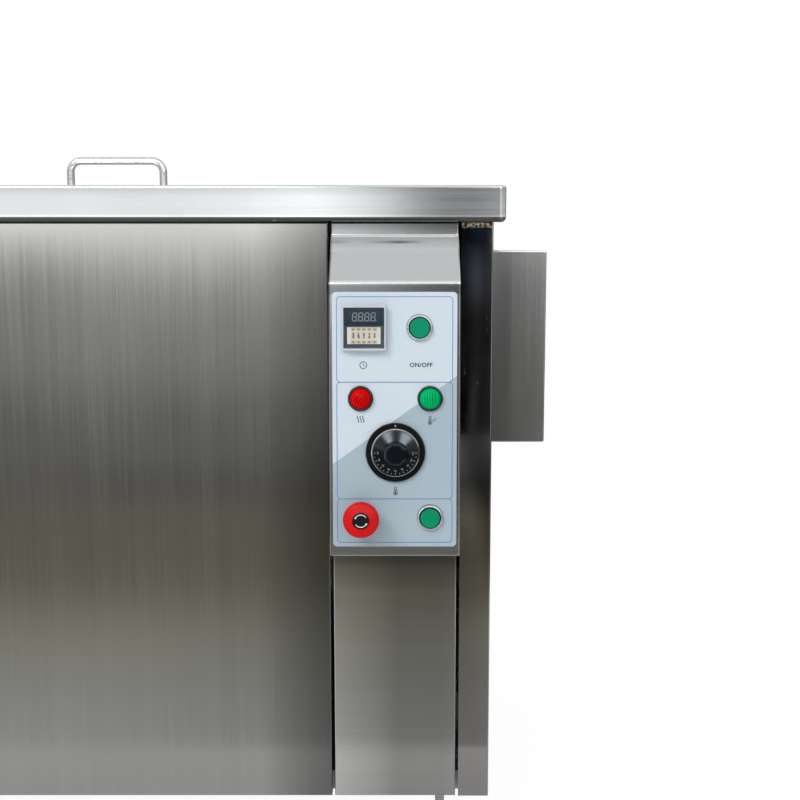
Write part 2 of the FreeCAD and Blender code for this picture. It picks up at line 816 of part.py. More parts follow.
def lid_hinges():
    """Two butt hinges behind the lid: fixed knuckles with their pins, and leaves that turn on them."""
    bases = []
    leaves = []
    reach = "(hinge_knuckle / 2 + hinge_play)"
    width = "(3 * hinge_knuckle_length + 2 * hinge_play)"
    for i, side in enumerate(("-1", "1")):
        middle = f"tank_x + {side} * hinge_spread / 2"
        start = f"{middle} - hinge_knuckle_length / 2"
        left = f"{middle} - {width} / 2"
        right = f"{middle} + hinge_knuckle_length / 2 + hinge_play"
        knuckle = cross_rod(f"base_knuckle_{i}", "hinge_knuckle", "hinge_knuckle_length", "x", start,
                            "hinge_y", "hinge_z")
        tongue = box(f"base_tongue_{i}", start, "hinge_y", "overall_height", "hinge_knuckle_length",
                     f"{reach} + hinge_leaf_sheet", "hinge_leaf_sheet")
        plate = box(f"base_plate_{i}", left, f"hinge_y + {reach}", "overall_height", width,
                    f"hinge_leaf - {reach}", "hinge_leaf_sheet")
        pin = cross_rod(f"hinge_pin_{i}", "hinge_pin", width, "x", left, "hinge_y", "hinge_z")
        bases.append(fuse(f"hinge_base_{i}", knuckle, tongue, plate, pin))
        moving = [box(f"leaf_plate_{i}", left, "hinge_y - hinge_leaf", "overall_height", width,
                      f"hinge_leaf - {reach}", "hinge_leaf_sheet")]
        for j, x in enumerate((left, right)):
            moving.append(cross_rod(f"leaf_knuckle_{i}_{j}", "hinge_knuckle", "hinge_knuckle_length", "x", x,
                                    "hinge_y", "hinge_z"))
            moving.append(box(f"leaf_tongue_{i}_{j}", x, f"hinge_y - {reach} - hinge_leaf_sheet",
                              "overall_height + lid_seat", "hinge_knuckle_length",
                              f"{reach} + hinge_leaf_sheet",
                              "hinge_leaf_sheet - lid_seat"))
        bore = cross_rod(f"leaf_bore_{i}", "hinge_pin + 2 * running_play", f"{width} + 2 * overcut", "x",
                         f"{left} - overcut", "hinge_y", "hinge_z")
        leaves.append(cut(f"hinge_leaf_{i}", fuse(f"leaf_solid_{i}", *moving), bore))
    node("lid_hinge_bases", group("lid_hinge_bases", bases))
    node("lid_hinge_leaves", group("lid_hinge_leaves", leaves))


def panel_hole(name, device, diameter):
    """A round hole square to the console's face, through the overlay and the sheet."""
    return on_face(rod(name, diameter, "-overcut", "overcut"), device + "_u", device + "_v", "-overcut")


def device_holes(tag):
    """Every cut-out that the console's face and its overlay share."""
    clear = "barrel_diameter + 2 * hole_play"
    holes = [panel_hole(f"{tag}_{device}_hole", device, clear)
             for device in ("on_off", "heater_lamp", "ready_lamp", "stop", "start")]
    holes.append(panel_hole(f"{tag}_dial_hole", "dial", "knob_shaft + 2 * free_room"))
    opening = "timer_body + 2 * timer_cutout_play"
    timer_hole = centred(f"{tag}_timer_hole", opening, opening, "-overcut", "overcut")
    holes.append(on_face(group(f"{tag}_timer_cutout", [timer_hole]), "timer_u", "timer_v"))
    return holes


def console():
    """The sloped console, the printed overlay on its face, and the plain cover of the column below."""
    front = "cab_front"
    under = "rim_under"
    back = "cab_front + console_inset"
    low = "rim_under - console_length"
    outline = [(front, under), (front, f"{under} - console_top_flat"),
               (f"{front} - console_reach", f"{under} - face_top"),
               (f"{front} - console_foot_reach", low), (back, low), (back, under)]
    hood = put(padded("console_hood", "YZ_Plane", outline, "column_width"), "column_left")
    front_y = value(front) + SAME_PLACE
    round_edges(hood, "bend_radius", lambda edge: edge.CenterOfMass.y < front_y)
    gauge = "panel_sheet"
    brow = f"{front} - console_reach - slope_mitre * tan(console_lean) + face_gauge"
    foot = f"{front} - console_foot_reach + {gauge} * tan(console_lean) + face_gauge"
    inner = [(f"{front} + {gauge}", f"{under} - {gauge}"),
             (f"{front} + {gauge}", f"{under} - console_top_flat - slope_mitre"),
             (brow, f"{under} - face_top - slope_mitre"), (foot, f"{low} + {gauge}"),
             (f"{back} + {gauge}", f"{low} + {gauge}"), (f"{back} + {gauge}", f"{under} - {gauge}")]
    hollow = put(padded("console_hollow", "YZ_Plane", inner, "column_width - 2 * panel_sheet"),
                 "column_left + panel_sheet")
    node("control_console", cut("control_console", hood, hollow, *device_holes("console")))

    half_w = "overlay_width / 2"
    half_h = "overlay_height / 2"
    corners = [(f"-{half_w}", f"-({half_h})"), (half_w, f"-({half_h})"), (half_w, half_h),
               (f"-{half_w}", half_h)]
    sheet = padded("overlay_blank", "XY_Plane", corners, "overlay_sheet")
    round_edges(sheet, "overlay_corner", upright)
    on_face(sheet, "0", f"overlay_top + {half_h}")
    node("facia_overlay", cut("facia_overlay", sheet, *device_holes("overlay")))

    node("service_cover", pan("service_cover", "column_left", "column_right", "cab_front",
                              "cab_front + panel_return", "cab_bottom", f"{low} - cover_gap"))


def panel_nut(name, device):
    """The ring nut that clamps a barrel from behind the sheet."""
    rear = "-panel_back - nut_height"
    ring = turned(name, [("barrel_radius", rear), ("nut_diameter / 2", rear),
                         ("nut_diameter / 2", "-panel_back"),
                         ("barrel_radius", "-panel_back")])
    return seat(ring, device)


def rear_block(name, device):
    """The contact block or lamp body behind a barrel."""
    rear = "-barrel_length - block_depth"
    block = centred(name + "_case", "block_width", "block_height", rear, "-barrel_length")
    step = centred(name + "_terminals", "terminal_width", "terminal_height", rear,
                   f"{rear} + terminal_depth")
    return seat(fuse(name, block, step), device)


def pushbuttons():
    """Two sprung pushbuttons with flat caps sunk in their bezels."""
    back = "-barrel_length"
    sink = "cap_diameter / 2 + slide_play"
    bezel = [("shaft_bore", back), ("barrel_radius", back), ("barrel_radius", "0"),
             ("button_bezel / 2", "0"),
             ("button_bezel / 2", "button_bezel_height - button_chamfer"),
             ("button_bezel / 2 - button_chamfer", "button_bezel_height"), (sink, "button_bezel_height"),
             (sink, "cap_floor"), ("shaft_bore", "cap_floor")]
    under = "cap_floor + cap_travel + slide_play"
    cap = [("0", "-stem_length"), ("stem_diameter / 2", "-stem_length"), ("stem_diameter / 2", under),
           ("cap_diameter / 2", under), ("cap_diameter / 2", "cap_rise"), ("0", "cap_rise")]
    devices = ("on_off", "start")
    bezels = [seat(turned(f"{device}_bezel", bezel), device) for device in devices]
    node("pushbutton_bezels", group("pushbutton_bezels", bezels))
    for device in devices:
        button = turned(f"{device}_cap", cap)
        round_edges(button, "cap_round", at_rim("cap_diameter", "cap_rise"))
        node(f"{device}_cap", seat(button, device))


def lamps():
    """Two indicator lamps with domed lenses."""
    back = "-barrel_length"
    edge = "lens_diameter / 2"
    outline = [("0", back), ("barrel_radius", back), ("barrel_radius", "0"), ("lamp_bezel / 2", "0"),
               ("lamp_bezel / 2", "lamp_bezel_height - button_chamfer"),
               ("lamp_bezel / 2 - button_chamfer", "lamp_bezel_height"), (edge, "lamp_bezel_height"),
               (edge, "lens_seat"), ("0", "lens_seat")]
    devices = ("heater_lamp", "ready_lamp")
    bezels = [seat(turned(f"{device}_bezel", outline), device) for device in devices]
    node("lamp_bezels", group("lamp_bezels", bezels))
    for device in devices:
        puck = rod(f"{device}_puck", "lens_diameter", "lens_seat", "lens_seat + lens_height")
        dome = ball(f"{device}_dome", "2 * lens_crown", "0", "0", "lens_seat + lens_height - lens_crown")
        lens = common(f"{device}_lens", puck, dome)
        node(f"{device}_lens", seat(lens, device))


def stop_button():
    """The mushroom stop button: collar, sliding stem, and the head that twists on the stem."""
    back = "-barrel_length"
    wide = "stop_collar_diameter / 2"
    collar = [("shaft_bore", back), ("barrel_radius", back), ("barrel_radius", "0"), (wide, "0"),
              (wide, "stop_collar_height - 2 * button_chamfer"),
              (f"{wide} - button_chamfer", "stop_collar_height"), ("shaft_bore", "stop_collar_height")]
    node("stop_collar", seat(turned("stop_collar", collar), "stop"))
    top = "stop_height - stop_socket"
    stem = rod("stop_stem_bar", "stem_diameter", "-stem_length", f"{top} - slide_play")
    node("stop_stem", seat(group("stop_stem", [stem]), "stop"))
    socket = "stem_diameter / 2 + running_play"
    wide = "stop_head_diameter / 2"
    belly = "stop_head_under + stop_head_flare"
    brow = "stop_height - stop_head_crown"
    outline = [("0", top), (socket, top), (socket, "stop_head_under"),
               ("stop_head_neck / 2", "stop_head_under"),
               (wide, belly), (wide, brow), ("stop_disc / 2", "stop_height"),
               ("stop_disc / 2", "stop_height - stop_disc_depth"), ("0", "stop_height - stop_disc_depth")]
    head = turned("stop_head", outline)
    round_edges(head, "stop_head_belly", at_rim("stop_head_diameter", belly))
    round_edges(head, "stop_head_round", at_rim("stop_head_diameter", brow))
    node("stop_head", seat(head, "stop"))


def contact_blocks():
    """Ring nuts and the blocks that they hold behind the panel."""
    devices = ("on_off", "start", "heater_lamp", "ready_lamp", "stop")
    backs = [panel_nut(f"{device}_nut", device) for device in devices]
    backs += [rear_block(f"{device}_block", device) for device in devices]
    node("contact_blocks", group("contact_blocks", backs))


def thermostat():
    """The dial ring, the knob with its shaft, and the thermostat that the shaft turns in."""
    inner = "knob_diameter / 2 + dial_gap"
    outer = "dial_ring_diameter / 2"
    ring = [(inner, "0"), (outer, "0"), (outer, "dial_ring_height - button_chamfer"),
            (f"{outer} - button_chamfer", "dial_ring_height"), (inner, "dial_ring_height")]
    node("dial_ring", seat(turned("dial_ring", ring), "dial"))

    wide = "knob_diameter / 2"
    knob = [("0", "-knob_shaft_length"), ("knob_shaft / 2", "-knob_shaft_length"),
            ("knob_shaft / 2", "knob_floor"),
            (wide, "knob_floor"), (wide, "knob_rim_height - knob_rim_width / 2"),
            (f"{wide} - knob_rim_width / 2", "knob_rim_height"),
            (f"{wide} - knob_rim_width", "knob_rim_height"),
            ("knob_grip / 2", "knob_cone_height"), ("0", "knob_cone_height")]
    height = "knob_grip_height - knob_rim_height"
    grip = flat_topped("knob_grip_block", "knob_grip_sides", "knob_grip", height)
    bevel_edges(grip, "knob_grip_bevel", at_level(height))
    put(grip, z="knob_rim_height")
    insert = rod("knob_insert_recess", "knob_insert", "knob_grip_height - knob_insert_depth",
                 "knob_grip_height + overcut")
    solid = fuse("knob_solid", turned("knob_disc", knob), grip)
    node("dial_knob", seat(cut("dial_knob", solid, insert), "dial"))

    case = centred("thermostat_case", "thermostat_width", "thermostat_width",
                   "-panel_back - thermostat_depth",
                   "-panel_back")
    bore = rod("thermostat_bore", "knob_shaft + 2 * running_play", "-knob_shaft_length - overcut", "overcut")
    node("thermostat_body", seat(cut("thermostat_body", case, bore), "dial"))


def timer_case():
    """The panel timer's case with ears for its cover, and the window over its display."""
    front = "timer_front"
    corner = "-timer_face / 2"
    face = block_body("timer_bezel", "timer_face", "timer_face", front, corner, corner)
    round_edges(face, "timer_corner", upright)
    rear = centred("timer_rear", "timer_body", "timer_body", "-timer_depth", "0")
    ears = []
    pin_holes = []
    for name, x in (("left", "-cover_barrel_length / 2 - cover_play - cover_ear"),
                    ("right", "cover_barrel_length / 2 + cover_play")):
        ears.append(cross_rod(f"timer_ear_{name}", "cover_barrel", "cover_ear", "x", x, "cover_axis_up",
                              "cover_axis_out"))
        ears.append(box(f"timer_ear_web_{name}", x, "timer_face / 2 - cover_play",
                        "cover_axis_out - cover_barrel / 2", "cover_ear",
                        "cover_barrel / 2 + 2 * cover_play",
                        "cover_barrel"))
        pin_holes.append(cross_rod(f"timer_pin_hole_{name}", "cover_pin + 2 * running_play",
                                   "cover_ear + 2 * cover_play", "x", f"{x} - cover_play", "cover_axis_up",
                                   "cover_axis_out"))
    window = centred("timer_window_recess", "window_width", "window_height", f"{front} - window_recess",
                     f"{front} + overcut", y="window_up")
    pocket = centred("timer_switch_pocket", "switch_width", "switch_height", f"{front} - switch_depth",
                     f"{front} + overcut", y="-switch_down")
    case = cut("timer_case", fuse("timer_solid", face, rear, *ears), window, pocket, *pin_holes)
    node("timer_case", seat(case, "timer"))
    glass = centred("timer_glass", "window_width", "window_height", f"{front} - window_recess", front,
                    y="window_up")
    node("timer_window", seat(group("timer_window", [glass]), "timer"))


def digit_switches():
    """The row of digit switches: ten-sided drums on one axle, with a step key above and below each."""
    front = "timer_front"
    axle_z = f"{front} - digit_depth"
    key_z = f"{front} - key_length + key_proud"
    cuts = []
    for i in range(int(value("digit_count"))):
        x = f"({i} - (digit_count - 1) / 2) * digit_pitch"
        cuts.append(centred(f"wheel_bay_{i}", "digit_wheel_width + 2 * digit_play",
                            "digit_wheel_diameter + 2 * digit_play", f"{front} - switch_depth - overcut",
                            f"{front} - switch_wall", x, "-switch_down"))
        cuts.append(centred(f"wheel_window_{i}", "digit_window_width", "digit_window_height",
                            f"{front} - 2 * switch_wall", f"{front} + overcut", x, "-switch_down"))
        wheel = flat_topped(f"wheel_drum_{i}", "digit_faces", "digit_wheel_diameter", "digit_wheel_width")
        turn(wheel, (0, 1, 0), "90")
        put(wheel, f"{x} - digit_wheel_width / 2", "-switch_down", axle_z)
        bore = cross_rod(f"wheel_bore_{i}", "digit_axle + 2 * running_play",
                         "digit_wheel_width + 2 * overcut", "x",
                         f"{x} - digit_wheel_width / 2 - overcut", "-switch_down", axle_z)
        node(f"digit_wheel_{i + 1}", seat(cut(f"digit_wheel_{i + 1}", wheel, bore), "timer"))
        for kind, side in (("plus", "1"), ("minus", "-1")):
            y = f"-switch_down + {side} * key_offset"
            cuts.append(centred(f"{kind}_slot_{i}", "key_width + 2 * key_play", "key_height + 2 * key_play",
                                f"{key_z} - key_travel - key_play", f"{front} + overcut", x, y))
            key = centred(f"{kind}_plunger_{i}", "key_width", "key_height", key_z, f"{front} + key_proud",
                          x, y)
            node(f"{kind}_key_{i + 1}", seat(group(f"{kind}_key_{i + 1}", [key]), "timer"))
    blank = centred("switch_blank", "switch_width", "switch_height", f"{front} - switch_depth", front,
                    y="-switch_down")
    axle = cross_rod("switch_axle", "digit_axle", "switch_width", "x", "-switch_width / 2",
                     "-switch_down", axle_z)
    block = fuse("digit_switch_solid", cut("switch_housing", blank, *cuts), axle)
    node("digit_switch_block", seat(block, "timer"))


def timer_cover():
    """The clear cover that hinges up off the timer's face, open at its hinge end between two ears."""
    top = "cover_axis_up + cover_barrel / 2"
    low = "(-timer_face / 2 - cover_play - cover_lip)"
    under = "cover_rise - cover_wall"
    shell = block_body("cover_shell", "cover_width", f"{top} - {low}", "cover_rise - cover_foot",
                       "-cover_width / 2", low, "cover_foot")
    round_edges(shell, "cover_corner", upright)
    round_edges(shell, "cover_round", at_level("cover_rise - cover_foot"))
    room = centred("cover_room", "timer_face + 2 * cover_play", "timer_face + 2 * cover_play", "-overcut",
                   under)
    mouth = between("cover_mouth", "-cover_width / 2 - overcut", "cover_width / 2 + overcut",
                    "timer_face / 2 - cover_play", f"{top} + overcut", "-overcut", under)
    left = "-cover_barrel_length / 2"
    brow = between("cover_brow", left, "cover_barrel_length / 2", "cover_axis_up", top, "cover_axis_out",
                   under)
    barrel = cross_rod("cover_hinge_barrel", "cover_barrel", "cover_barrel_length", "x", left,
                       "cover_axis_up",
                       "cover_axis_out")
    ear = "(cover_play + cover_ear)"
    pin = cross_rod("cover_hinge_pin", "cover_pin", f"cover_barrel_length + 2 * {ear}", "x",
                    f"{left} - {ear}",
                    "cover_axis_up", "cover_axis_out")
    node("timer_cover", seat(fuse("timer_cover", cut("cover_walls", shell, room, mouth), brow, barrel,
                                  pin), "timer"))


def side_box():
    """The terminal box on the right side, its lift-off cover, and the cable gland under it."""
    x0 = "cab_right"
    x1 = "cab_right + box_projection"
    y0 = "cab_front + box_setback"
    y1 = f"{y0} + box_depth"
    z1 = "rim_under - box_top"
    z0 = f"{z1} - box_height"
    gauge = "box_sheet"
    outer = between("box_outer", x0, f"{x1} - {gauge}", f"{y0} + {gauge}", f"{y1} - {gauge}",
                    f"{z0} + {gauge}",
                    f"{z1} - {gauge}")
    inner = between("box_inner", f"{x0} + {gauge}", f"{x1} + {gauge}", f"{y0} + 2 * {gauge}",
                    f"{y1} - 2 * {gauge}", f"{z0} + 2 * {gauge}", f"{z1} - 2 * {gauge}")
    gland_x = "cab_right + box_projection / 2"
    gland_y = f"{y1} - gland_from_rear"
    entry = put(rod("box_entry", "gland_body", "0", "2 * overcut"), gland_x, gland_y, f"{z0} - overcut")
    wiring = cross_rod("box_wiring_hole", "gland_hex", "2 * overcut", "x", "cab_right - overcut",
                       f"{y0} + box_depth / 2", f"{z1} - box_height / 2")
    node("side_box", cut("side_box", outer, inner, entry, wiring))

    lid_outer = block_body("box_cover_outer", "box_projection", "box_depth", "box_height", x0, y0, z0)
    face_x = value("box_projection")
    round_edges(lid_outer, "bend_radius", lambda edge: same(edge.CenterOfMass.x, face_x) or lengthwise(edge))
    lid_inner = between("box_cover_inner", f"{x0} - {gauge}", f"{x1} - {gauge}", f"{y0} + {gauge}",
                        f"{y1} - {gauge}", f"{z0} + {gauge}", f"{z1} - {gauge}")
    notch = put(rod("box_cover_notch", "gland_hex + 2 * free_room", "0", "2 * overcut"), gland_x, gland_y,
                f"{z0} - overcut")
    node("side_box_cover", cut("side_box_cover", lid_outer, lid_inner, notch))

    seat_z = f"{z0} + {gauge}"
    foot_z = f"{seat_z} - gland_length"
    nut = put(prism("gland_hexagon", 6, "gland_hex", "gland_length - gland_collar"), gland_x, gland_y,
              f"{foot_z} + gland_collar")
    dome_outline = [("0", "0"), ("gland_lip / 2", "0"), ("gland_dome / 2", "gland_collar"),
                    ("0", "gland_collar")]
    dome = put(turned("gland_dome_nut", dome_outline), gland_x, gland_y, foot_z)
    neck = put(rod("gland_neck", "gland_body", "0", "gland_collar"), gland_x, gland_y, seat_z)
    lock = put(rod("gland_lock", "gland_hex", "0", "gland_collar"), gland_x, gland_y, f"{seat_z} + {gauge}")
    bore = put(rod("gland_bore_cut", "gland_bore", "0", "gland_length + gland_collar + 2 * overcut"),
               gland_x,
               gland_y, f"{foot_z} - overcut")
    node("cable_gland", cut("cable_gland", fuse("gland_solid", nut, dome, neck, lock), bore))


def drain_run(tag, diameter, spare):
    """The drain tube's run at one diameter: down, round a quarter bend, and out to the rear."""
    bend_y = "drain_y + drain_bend"
    elbow = "drain_level + drain_bend"
    down = put(rod(f"drain_down_{tag}", diameter, elbow, f"tank_under + {spare}"), "drain_x", "drain_y",
               elbow)
    bend = quarter_bend(f"drain_bend_{tag}", "drain_bend", diameter, (0, -1, 0), (0, 0, -1))
    put(bend, "drain_x", bend_y, elbow)
    out = cross_rod(f"drain_out_{tag}", diameter, f"valve_start - ({bend_y}) + {spare}", "y", "drain_x",
                    bend_y,
                    "drain_level")
    return fuse(f"drain_run_{tag}", down, bend, out)


def drain():
    """The drain tube under the tank, and the ball valve with its lever behind the cabinet."""
    node("drain_pipe", cut("drain_pipe", drain_run("tube", "drain_tube", "0"),
                           drain_run("bore", "drain_bore", "drain_standoff")))

    thread_end = "valve_length - valve_thread_depth"
    shoulder = "valve_length - valve_shoulder"
    outline = [("drain_bore / 2", "0"), ("drain_tube / 2 + tank_sheet", "0"),
               ("valve_end / 2", "valve_nose"),
               ("valve_body / 2", "valve_shoulder"), ("valve_body / 2", shoulder),
               ("valve_end / 2", f"{shoulder} + valve_step"), ("valve_end / 2", "valve_length"),
               ("valve_thread_bore / 2", "valve_length"), ("valve_thread_bore / 2", thread_end),
               ("drain_bore / 2", thread_end)]
    shell = turn(turned("valve_shell", outline), (1, 0, 0), "-90")
    put(shell, "drain_x", "valve_start", "drain_level")
    boss = put(rod("valve_boss", "valve_boss", "0", "valve_boss_rise"), "drain_x", "valve_y", "drain_level")
    cavity = ball("valve_cavity", "ball_diameter + 2 * ball_play", "drain_x", "valve_y", "drain_level")
    stem_hole = put(rod("valve_stem_hole", "valve_stem + 2 * running_play", "0",
                        "valve_boss_rise + overcut"),
                    "drain_x", "valve_y", "drain_level")
    passage = cross_rod("valve_passage", "drain_bore", f"{thread_end} + valve_step / 2", "y", "drain_x",
                        "valve_start", "drain_level")
    node("drain_valve_body", cut("drain_valve_body", fuse("valve_solid", shell, boss), cavity, stem_hole,
                                 passage))

    core = ball("valve_ball_solid", "ball_diameter", "drain_x", "valve_y", "drain_level")
    port = cross_rod("valve_ball_port", "drain_bore", "2 * ball_diameter", "x", "drain_x - ball_diameter",
                     "valve_y", "drain_level")
    lever_z = "drain_level + valve_boss_rise + lever_play"
    stem_z = "drain_level + ball_diameter / 2 - stem_into_ball"
    stem = put(rod("valve_stem_bar", "valve_stem", stem_z, f"{lever_z} + 2 * lever_sheet"), "drain_x",
               "valve_y",
               stem_z)
    arm = block_body("lever_arm", "lever_length + lever_width / 2", "lever_width", "lever_sheet",
                     "drain_x - lever_width / 2", "valve_y - lever_width / 2", lever_z)
    round_edges(arm, "lever_end_round", upright)
    grip = block_body("lever_grip", "lever_grip_length", "lever_grip_width", "lever_grip_height",
                      "drain_x + lever_grip_start", "valve_y - lever_grip_width / 2",
                      f"{lever_z} + (lever_sheet - lever_grip_height) / 2")
    round_edges(grip, "lever_sheet", lambda edge: upright(edge) or lengthwise(edge))
    node("drain_lever", fuse("drain_lever", cut("valve_ball", core, port), stem, arm, grip))


def tank_gear():
    """What shakes and heats the tank: transducers under its floor and pads on its walls."""
    shoulder = "-transducer_shoulder"
    horn = [("0", "-transducer_height"), ("transducer_mass / 2", "-transducer_height"),
            ("transducer_mass / 2", shoulder), ("transducer_face / 2", "-transducer_rim"),
            ("transducer_face / 2", "0"), ("0", "0")]
    columns = int(value("transducer_columns"))
    rows = int(value("transducer_rows"))
    drain_corner = (columns - 1, rows - 1)
    horns = []
    for i in range(columns):
        for j in range(rows):
            if (i, j) != drain_corner:
                horns.append(put(turned(f"transducer_{i}_{j}", horn),
                                 f"tank_x + ({i} - (transducer_columns - 1) / 2) * transducer_pitch_x",
                                 f"tank_y + ({j} - (transducer_rows - 1) / 2) * transducer_pitch_y",
                                 "tank_under"))
    node("transducers", group("transducers", horns))

    wall = "(tank_width / 2 + tank_sheet)"
    pads = [box(f"heater_pad_{i}", "tank_x - heater_length / 2", y, "tank_floor + heater_lift",
                "heater_length",
                "heater_depth", "heater_height")
            for i, y in enumerate((f"tank_y - {wall} - heater_depth", f"tank_y + {wall}"))]
    node("tank_heaters", group("tank_heaters", pads))


def electrics():
    """The finned generator on the base, and the contactor and breaker on their rail."""
    floor = "cab_bottom + base_sheet"
    left = "bay_x + partition_foot / 2 - generator_width / 2"
    front = "cab_front + panel_return + foot_inset + foot_nut"
    case = box("generator_case", left, front, floor, "generator_width", "generator_length",
               "generator_height - fin_height")
    fins = [box(f"generator_fin_{i}", f"{left} + (generator_width - fin_width) * {i} / (fin_count - 1)",
                front,
                f"{floor} + generator_height - fin_height", "fin_width", "generator_length", "fin_height")
            for i in range(int(value("fin_count")))]
    node("ultrasonic_generator", fuse("ultrasonic_generator", case, *fins))

    wall = "panel_right"
    crest = "panel_right + rail_depth"
    low = "rail_level"
    high = "rail_level + rail_height"
    web = f"{crest} - panel_sheet"
    hat = [(wall, low), (crest, low), (crest, high), (wall, high), (wall, f"{high} - rail_lip"),
           (web, f"{high} - rail_lip"), (web, f"{low} + rail_lip"), (wall, f"{low} + rail_lip")]
    rail_y = "tank_y - rail_length / 2"
    rail = put(padded("din_rail", "XZ_Plane", hat, "rail_length"), y=f"{rail_y} + rail_length")
    level = "rail_level + rail_height / 2"
    first_y = f"{rail_y} + rail_margin"
    contactor = box("contactor", crest, first_y, f"{level} - contactor_height / 2", "contactor_depth",
                    "contactor_width", "contactor_height")
    breaker = box("breaker", crest, f"{first_y} + contactor_width + device_space",
                  f"{level} - breaker_height / 2",
                  "breaker_depth", "breaker_width", "breaker_height")
    node("din_rail_devices", group("din_rail_devices", [rail, contactor, breaker]))


def fan():
    """The axial fan on the rear panel's inside, behind the louvres."""
    inside = "cab_rear - fan_depth"
    half = "fan_width / 2"
    frame = between("fan_square", f"bay_x - {half}", f"bay_x + {half}", inside, "cab_rear",
                    f"fan_level - {half}",
                    f"fan_level + {half}")
    bore = cross_rod("fan_round", "fan_bore", "fan_depth + 2 * overcut", "y", "bay_x", f"{inside} - overcut",
                     "fan_level")
    plate = cross_rod("fan_hub_disc", "fan_hub", "fan_hub_plate", "y", "bay_x", inside, "fan_level")
    spokes = [between(f"fan_spoke_{i}", f"bay_x - {w} / 2", f"bay_x + {w} / 2", inside,
                      f"{inside} + fan_hub_plate",
                      f"fan_level - {h} / 2", f"fan_level + {h} / 2")
              for i, (w, h) in enumerate((("fan_width", "fan_spoke"), ("fan_spoke", "fan_width")))]
    pin = cross_rod("fan_pin_bar", "fan_pin", "fan_depth - fan_hub_plate", "y", "bay_x", inside, "fan_level")
    node("fan_frame", fuse("fan_frame", cut("fan_ring", frame, bore), plate, *spokes, pin))

    hub_y = f"{inside} + fan_hub_plate + fan_running_gap"
    hub = cross_rod("impeller_hub", "fan_hub", "fan_blade_depth", "y", "bay_x", hub_y, "fan_level")
    reach = "fan_bore / 2 - fan_tip_gap"
    root = "fan_hub / 2 - 2 * fan_blade_sheet"
    blades = []
    for i in range(int(value("fan_blades"))):
        blade = box(f"impeller_blade_{i}", root, "0 - fan_blade_sheet / 2", "0 - fan_blade_depth / 2",
                    f"{reach} - ({root})", "fan_blade_sheet", "fan_blade_depth")
        pitched = turn(group(f"impeller_pitch_{i}", [blade]), (1, 0, 0), "fan_blade_pitch - 90")
        spun = turn(group(f"impeller_spun_{i}", [pitched]), (0, 1, 0), f"{i} * 360 / fan_blades")
        blades.append(put(spun, "bay_x", f"{hub_y} + fan_blade_depth / 2", "fan_level"))
    sweep = cross_rod("impeller_sweep", f"2 * ({reach})", "fan_blade_depth", "y", "bay_x", hub_y,
                      "fan_level")
    trimmed = common("impeller_trim", fuse("impeller_solid", hub, *blades), sweep)
    shaft = cross_rod("impeller_bore", "fan_pin + 2 * running_play", "fan_depth + 2 * overcut", "y", "bay_x",
                      f"{inside} - overcut", "fan_level")
    node("fan_impeller", cut("fan_impeller", trimmed, shaft))


rim_and_tank()
cabinet_panels()
feet()
lid()
lid_hinges()
console()
pushbuttons()
lamps()
stop_button()
contact_blocks()
thermostat()
timer_case()
digit_switches()
timer_cover()
side_box()
drain()
tank_gear()
electrics()
fan()
doc.recompute()

faults = [obj.Name for obj in doc.Objects if "Invalid" in obj.State or "Error" in obj.State]
faults += [obj.Label for obj in NODES
           if obj.Shape.isNull() or not obj.Shape.isValid() or not obj.Shape.Solids]
if faults:
    raise RuntimeError("Pieces that did not build: " + ", ".join(faults))
os.makedirs("parts", exist_ok=True)
for obj in NODES:
    obj.Shape.exportStep(f"parts/{obj.Label}.step")
    print(f"{obj.Label}: {len(obj.Shape.Solids)} solids, {obj.Shape.Volume / 1000:.1f} cm3")
print(f"{len(NODES)} nodes")
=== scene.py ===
"""Looks of a free-standing heated cleaning tank: folded stainless cabinet, sloped console and side box."""
import math

import bmesh
import bpy
from mathutils import Matrix, Vector


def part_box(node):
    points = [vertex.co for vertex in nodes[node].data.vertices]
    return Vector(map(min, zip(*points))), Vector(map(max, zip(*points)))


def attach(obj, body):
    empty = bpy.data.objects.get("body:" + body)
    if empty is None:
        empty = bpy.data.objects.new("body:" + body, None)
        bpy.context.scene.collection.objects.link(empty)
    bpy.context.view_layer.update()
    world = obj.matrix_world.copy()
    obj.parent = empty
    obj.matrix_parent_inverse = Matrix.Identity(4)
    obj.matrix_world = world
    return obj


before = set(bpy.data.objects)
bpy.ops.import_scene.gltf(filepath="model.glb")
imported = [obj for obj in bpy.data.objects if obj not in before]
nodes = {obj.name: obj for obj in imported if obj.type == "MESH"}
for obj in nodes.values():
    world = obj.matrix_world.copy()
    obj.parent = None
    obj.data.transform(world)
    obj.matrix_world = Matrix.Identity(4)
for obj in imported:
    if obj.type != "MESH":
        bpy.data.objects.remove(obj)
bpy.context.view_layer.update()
MM = 0.001


# Top rim: thick stainless sheet folded down and under round the whole top, with welded and ground corners.
# The grain runs along the front, and handling has left small spots and dull smears on it.
def new_finish(name):
    """A new surface and its shader."""
    material = bpy.data.materials.new(name)
    material.use_nodes = True
    return material, material.node_tree, material.node_tree.nodes["Principled BSDF"]


def own(tree, kind="Object"):
    """The piece's own coordinates, or another kind: its normals, or directions in the surround."""
    return tree.nodes.new("ShaderNodeTexCoord").outputs[kind]


def split(tree, vector):
    """The X, Y and Z of a vector."""
    node = tree.nodes.new("ShaderNodeSeparateXYZ")
    tree.links.new(vector, node.inputs["Vector"])
    return node.outputs


